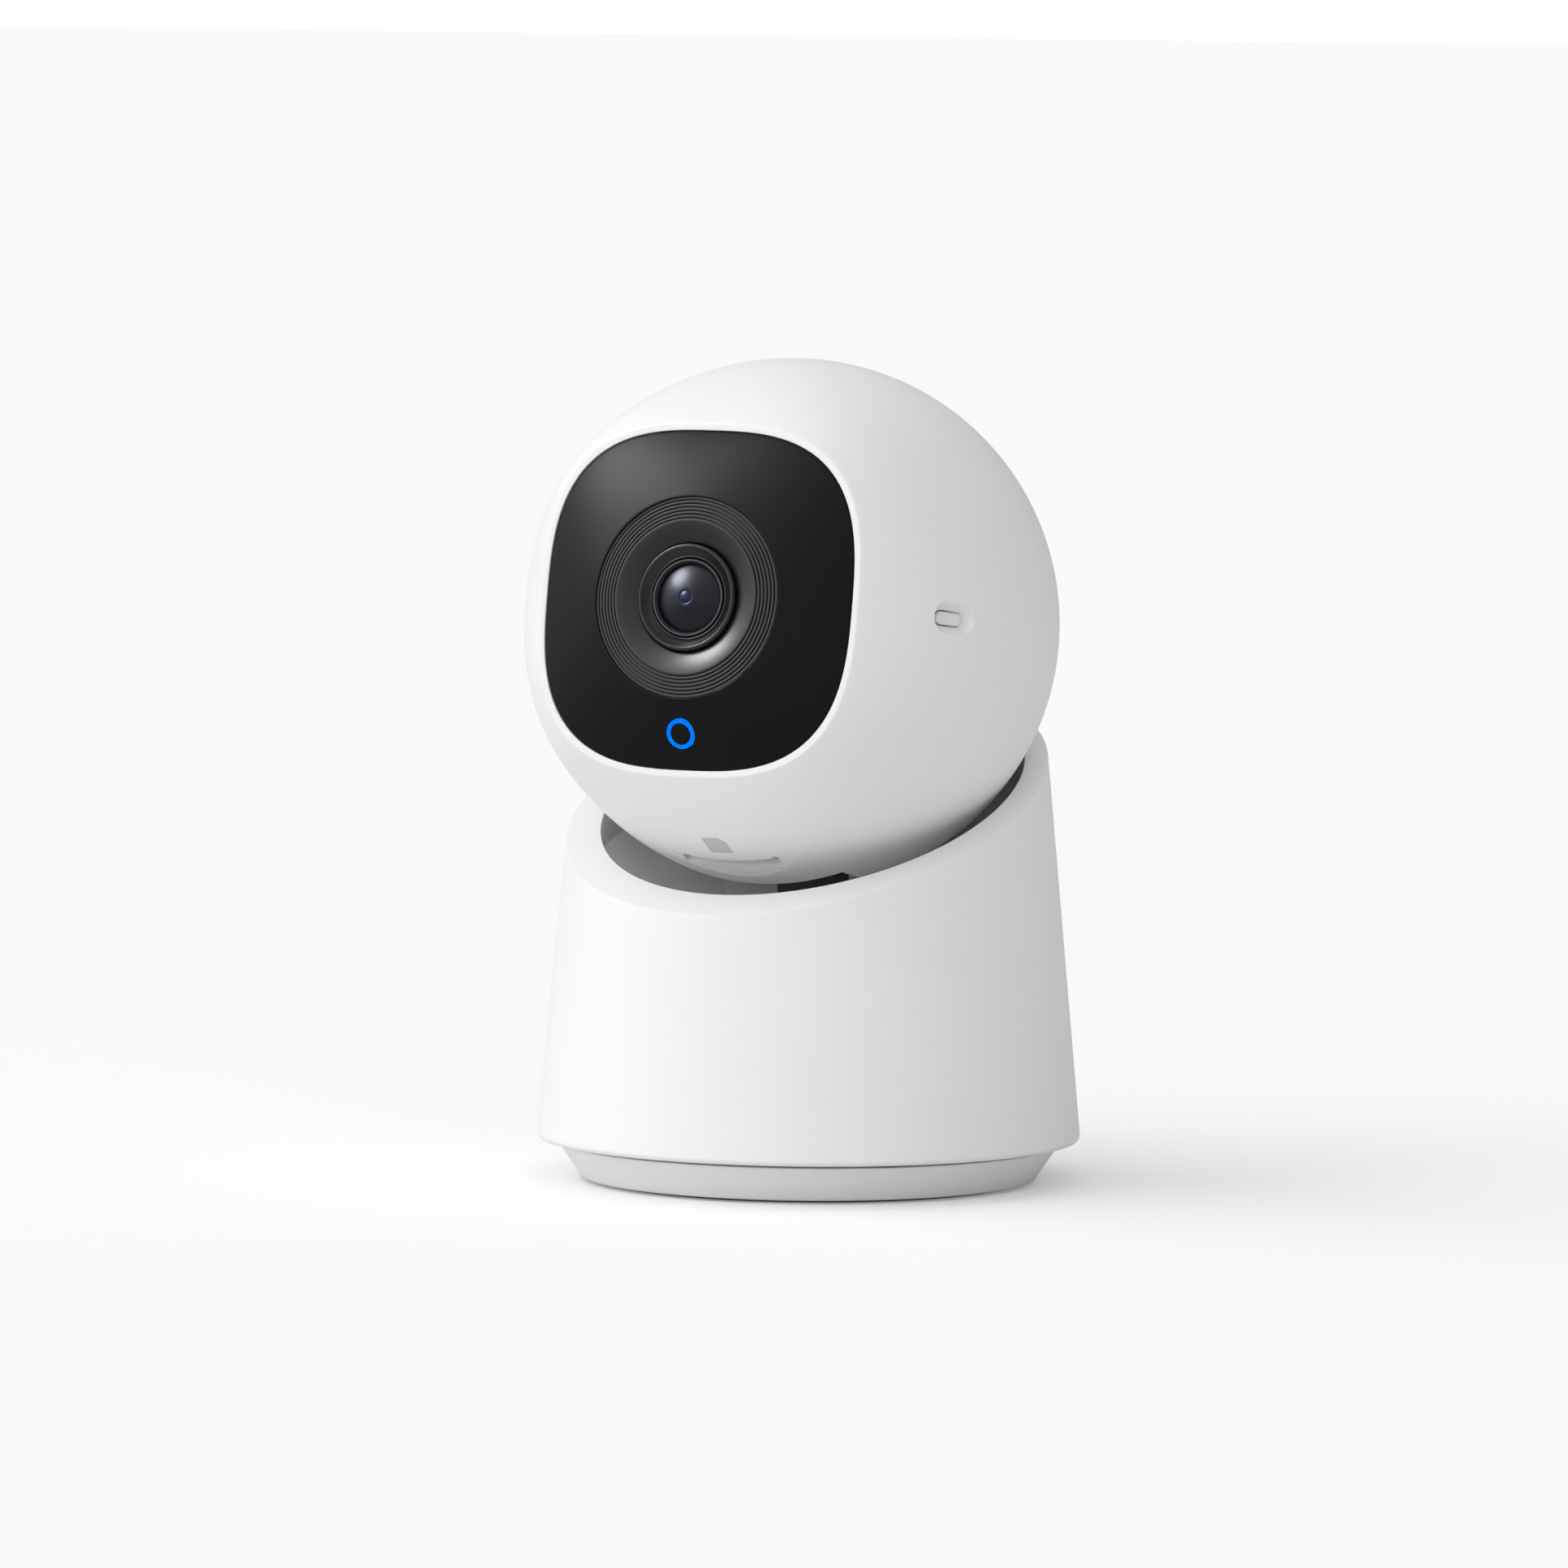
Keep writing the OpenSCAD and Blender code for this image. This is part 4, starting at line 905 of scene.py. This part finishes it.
class CAMERA_OT_window(bpy.types.Operator):
    """Makes the domed window and the status light in it"""
    bl_idname = "camera_model.window"
    bl_label = "Window"

    def execute(self, context):
        head = context.scene.camera_head
        hole = head.surround + FIT_GAP
        edge = head.window_half

        def dome(radius):
            return DOME_TOP - DOME_RADIUS + math.sqrt(DOME_RADIUS ** 2 - radius ** 2)

        rings = 24
        window = turned("window", [(hole + (edge - hole) * step / rings, 0) for step in range(rings + 1)],
                        192, closed=True)

        def swell(point):
            part = (math.hypot(point.x, point.y) - hole) / (edge - hole)
            reach = hole + part * (edge * squircle_reach(point.x, point.y, head.squareness) - hole)
            out = Vector((point.x, point.y, 0)).normalized() * reach
            return out + Vector((0, 0, dome(hole + part * (edge - hole)) - 0.12 * MM * part ** 8))

        move_points(window, swell)
        if window.data.polygons[0].normal.z < 0:
            with editing(window, "FACE"):
                bpy.ops.mesh.flip_normals()
        apply_modifier(window, "SOLIDIFY", thickness=1.5 * MM, offset=-1.0)
        round_corners(window, 0.16 * MM, 3, 50)
        drop = STATUS_DROP
        outer, inner = head.light, head.light - head.light_width
        bed, gap = dome(drop) - 1.1 * MM, 0.03 * MM
        groove = turned("groove", [(inner - gap, bed), (outer + gap, bed), (outer + gap, bed + 4 * MM),
                                   (inner - gap, bed + 4 * MM), (inner - gap, bed)], FINE_STEPS, closed=True)
        groove.location = (0, -drop, 0)
        carve(window, apply_place(groove))
        place_in_head(window, head)
        smooth(window)
        settle(window, "head", "window_black", FINISHES["window"], "front_window")

        light = turned("status_ring", [(inner, -0.8 * MM), (outer, -0.8 * MM), (outer, 0), (inner, 0),
                                       (inner, -0.8 * MM)], FINE_STEPS, closed=True)
        round_corners(light, 0.05 * MM, 2)
        light.rotation_euler = (math.asin(drop / DOME_RADIUS), 0, 0)
        light.location = (0, -drop, dome(drop) - 0.01 * MM)
        apply_place(light)
        place_in_head(light, head)
        smooth(light)
        settle(light, "head", "clear_light", FINISHES["glow"], "status_light")
        return {"FINISHED"}


class CAMERA_OT_lens(bpy.types.Operator):
    """Makes the stepped surround, the cone, the barrel and the glass"""
    bl_idname = "camera_model.lens"
    bl_label = "Lens"

    def execute(self, context):
        head = context.scene.camera_head
        top = SURROUND_TOP
        step = (head.surround - head.cone - 0.3 * MM) / GROOVES
        profile = [(head.surround + 1.0 * MM, top - 3 * MM), (head.surround + 1.0 * MM, top - 2 * MM),
                   (head.surround, top - 2 * MM), (head.surround, top)]
        for groove in range(GROOVES):
            start, level = head.surround - step * groove, top + GROOVE_RISE * groove
            profile += [(start - 0.66 * step, level), (start - 0.66 * step, level - 0.22 * MM),
                        (start - step, level - 0.22 * MM), (start - step, level + GROOVE_RISE)]
        mouth = profile[-1][1]
        profile += [(head.cone, mouth), (head.barrel + 0.2 * MM, mouth - 0.75 * MM),
                    (head.barrel + 0.2 * MM, top - 3 * MM), profile[0]]
        surround = turned("lens_cone", profile, 192, closed=True)
        round_corners(surround, 0.06 * MM, 2, 25)
        self.fit(surround, head, "cone_black", "cone", "lens_surround")

        rim = BARREL_TOP
        barrel = turned("lens_tube", [
            (head.glass + 0.1 * MM, rim - 9 * MM), (6 * MM, rim - 9 * MM), (6 * MM, rim - 4.2 * MM),
            (head.barrel, rim - 4.2 * MM), (head.barrel, rim - 0.22 * MM), (head.barrel - 0.22 * MM, rim),
            (head.barrel - 0.5 * MM, rim), (head.barrel - 0.68 * MM, rim - 0.2 * MM),
            (5.8 * MM, rim - 1.0 * MM), (5.7 * MM, rim - 0.8 * MM), (5.5 * MM, rim - 0.8 * MM),
            (5.35 * MM, rim - 1.1 * MM),
            (head.glass + 0.1 * MM, rim - 1.3 * MM), (head.glass + 0.1 * MM, rim - 9 * MM)], closed=True)
        round_corners(barrel, 0.06 * MM, 3, 25)
        self.fit(barrel, head, "cone_black", "barrel", "lens_barrel")

        glass, crown, dimple = head.glass, 8.6 * MM, 1.0 * MM
        crest = rim + 0.1 * MM
        widest, middle = math.asin(glass / crown), math.asin(dimple / crown)
        profile = [(glass - 0.02 * MM, crest - 3.6 * MM)]
        for part in range(17):
            angle = widest + (middle - widest) * part / 16
            profile.append((crown * math.sin(angle), crest - crown * (1 - math.cos(angle))))
        edge = profile[-1][1]
        cap = math.radians(62)
        for part in range(1, 9):
            angle = cap * (1 - part / 8)
            profile.append((dimple * math.sin(angle) / math.sin(cap) * 0.94,
                            edge - 0.12 * MM + 0.5 * MM * (math.cos(angle) - math.cos(cap))))
        profile[-1] = (0, profile[-1][1])
        self.fit(turned("front_glass", profile), head, "lens_glass", "front_lens", "front_lens", 40)
        return {"FINISHED"}

    @staticmethod
    def fit(piece, head, slot, finish, node, angle=35):
        """Puts a turned piece in the head, in place of a node."""
        place_in_head(piece, head)
        smooth(piece, angle)
        settle(piece, "head", slot, FINISHES[finish], node)


class CAMERA_OT_finishes(bpy.types.Operator):
    """Gives every solid that stays its own finish"""
    bl_idname = "camera_model.finishes"
    bl_label = "Finishes"

    def execute(self, context):
        FINISHES.update(make_finishes(context.scene.camera_body, context.scene.camera_head))
        for part in frame["record"]["subparts"]:
            node = frame["nodes"][part["node"]]
            finish = FINISHES[NODE_FINISHES[part["material_slot"]]]
            for slot in node.material_slots:
                slot.material = finish
        return {"FINISHED"}


class CAMERA_OT_stage(bpy.types.Operator):
    """Sets the floor, the soft light and the viewpoint"""
    bl_idname = "camera_model.stage"
    bl_label = "Stage"

    def execute(self, context):
        scene = context.scene
        scene.view_settings.view_transform = "Standard"
        scene.view_settings.look = "None"
        pick_nothing()
        bpy.ops.mesh.primitive_plane_add(size=40, location=(0, 0, -0.05 * MM))
        floor = bpy.context.object
        floor.name = "floor"
        white = Finish("floor_white", Roughness=0.9, Specular_IOR_Level=0.0, Emission_Strength=1.0)
        white.colour(white.blend(white.noise(0.3), (0.795, 0.795, 0.795), (0.805, 0.805, 0.805)))
        direct = white.node("ShaderNodeLightPath").outputs["Is Camera Ray"]
        white.feed(white.shader.inputs["Emission Color"],
                   white.blend(direct, (0.0, 0.0, 0.0), (0.21, 0.21, 0.21)))
        floor.data.materials.append(white.material)

        world = bpy.data.worlds.new("studio")
        scene.world = world
        world.use_nodes = True
        tree = world.node_tree
        tree.nodes.clear()
        seen, light = (tree.nodes.new("ShaderNodeBackground") for _ in range(2))
        seen.inputs[0].default_value = (1, 1, 1, 1)
        seen.inputs[1].default_value = 1.05
        light.inputs[0].default_value = (1, 1, 1, 1)
        light.inputs[1].default_value = 0.38
        path = tree.nodes.new("ShaderNodeLightPath")
        mix = tree.nodes.new("ShaderNodeMixShader")
        out = tree.nodes.new("ShaderNodeOutputWorld")
        tree.links.new(path.outputs["Is Camera Ray"], mix.inputs[0])
        tree.links.new(light.outputs[0], mix.inputs[1])
        tree.links.new(seen.outputs[0], mix.inputs[2])
        tree.links.new(mix.outputs[0], out.inputs[0])

        self.sun("key", (-0.80, -0.42, 0.55), 1.3, 75)
        self.sun("fill", (0.07, -0.91, 0.42), 1.0, 90)
        self.sun("top", (-0.1, 0.1, 1.0), 0.6, 120)
        self.sun("sheen", (-0.66, -0.40, 0.60), 4.3, 26).visible_diffuse = False
        self.viewpoint(scene)
        return {"FINISHED"}

    @staticmethod
    def sun(name, towards, strength, spread):
        """A broad, even light from one direction."""
        data = bpy.data.lights.new(name, "SUN")
        data.energy = strength
        data.angle = math.radians(spread)
        lamp = bpy.data.objects.new(name, data)
        lamp.rotation_euler = Vector(towards).to_track_quat("Z", "Y").to_euler()
        bpy.context.collection.objects.link(lamp)
        return lamp

    @staticmethod
    def viewpoint(scene):
        """A long lens, a little to the camera's left side and a little above it."""
        azimuth, elevation, roll = math.radians(26.555), math.radians(4.343), math.radians(0.501)
        distance, aside, height = 1.5, -3.758 * MM, 54.704 * MM
        data = bpy.data.cameras.new("viewpoint")
        data.sensor_width = 36
        data.lens = 249.47
        data.clip_start, data.clip_end = 0.05, 100
        viewer = bpy.data.objects.new("viewpoint", data)
        scene.collection.objects.link(viewer)
        right = Vector((math.cos(azimuth), math.sin(azimuth), 0))
        back = Vector((math.sin(azimuth) * math.cos(elevation), -math.cos(azimuth) * math.cos(elevation),
                       math.sin(elevation)))
        viewer.rotation_mode = "QUATERNION"
        viewer.location = right * aside + Vector((0, 0, height)) + back * distance
        level = (-back).to_track_quat("-Z", "Y")
        viewer.rotation_quaternion = Quaternion(back, roll) @ level
        scene.camera = viewer


class CAMERA_PT_pieces(bpy.types.Panel):
    """Lists the pieces and their sizes"""
    bl_idname = "CAMERA_PT_pieces"
    bl_label = "Pan and tilt camera"
    bl_space_type = "VIEW_3D"
    bl_region_type = "UI"
    bl_category = "Camera"

    def draw(self, context):
        for operator in STEPS:
            self.layout.operator(operator.bl_idname)
        for group in (context.scene.camera_body, context.scene.camera_head):
            box = self.layout.box()
            for key in group.__annotations__:
                box.prop(group, key)


FINISHES = {}
STEPS = (CAMERA_OT_finishes, CAMERA_OT_foot, CAMERA_OT_body, CAMERA_OT_head, CAMERA_OT_card_mark,
         CAMERA_OT_window, CAMERA_OT_lens, CAMERA_OT_stage)
CLASSES = (BodySizes, HeadSizes, *STEPS, CAMERA_PT_pieces)


def register():
    for item in CLASSES:
        bpy.utils.register_class(item)
    bpy.types.Scene.camera_body = bpy.props.PointerProperty(type=BodySizes)
    bpy.types.Scene.camera_head = bpy.props.PointerProperty(type=HeadSizes)


def unregister():
    del bpy.types.Scene.camera_head
    del bpy.types.Scene.camera_body
    for item in reversed(CLASSES):
        bpy.utils.unregister_class(item)


def main():
    register()
    for step in STEPS:
        group, name = step.bl_idname.split(".")
        getattr(getattr(bpy.ops, group), name)()


if __name__ == "__main__":
    main()
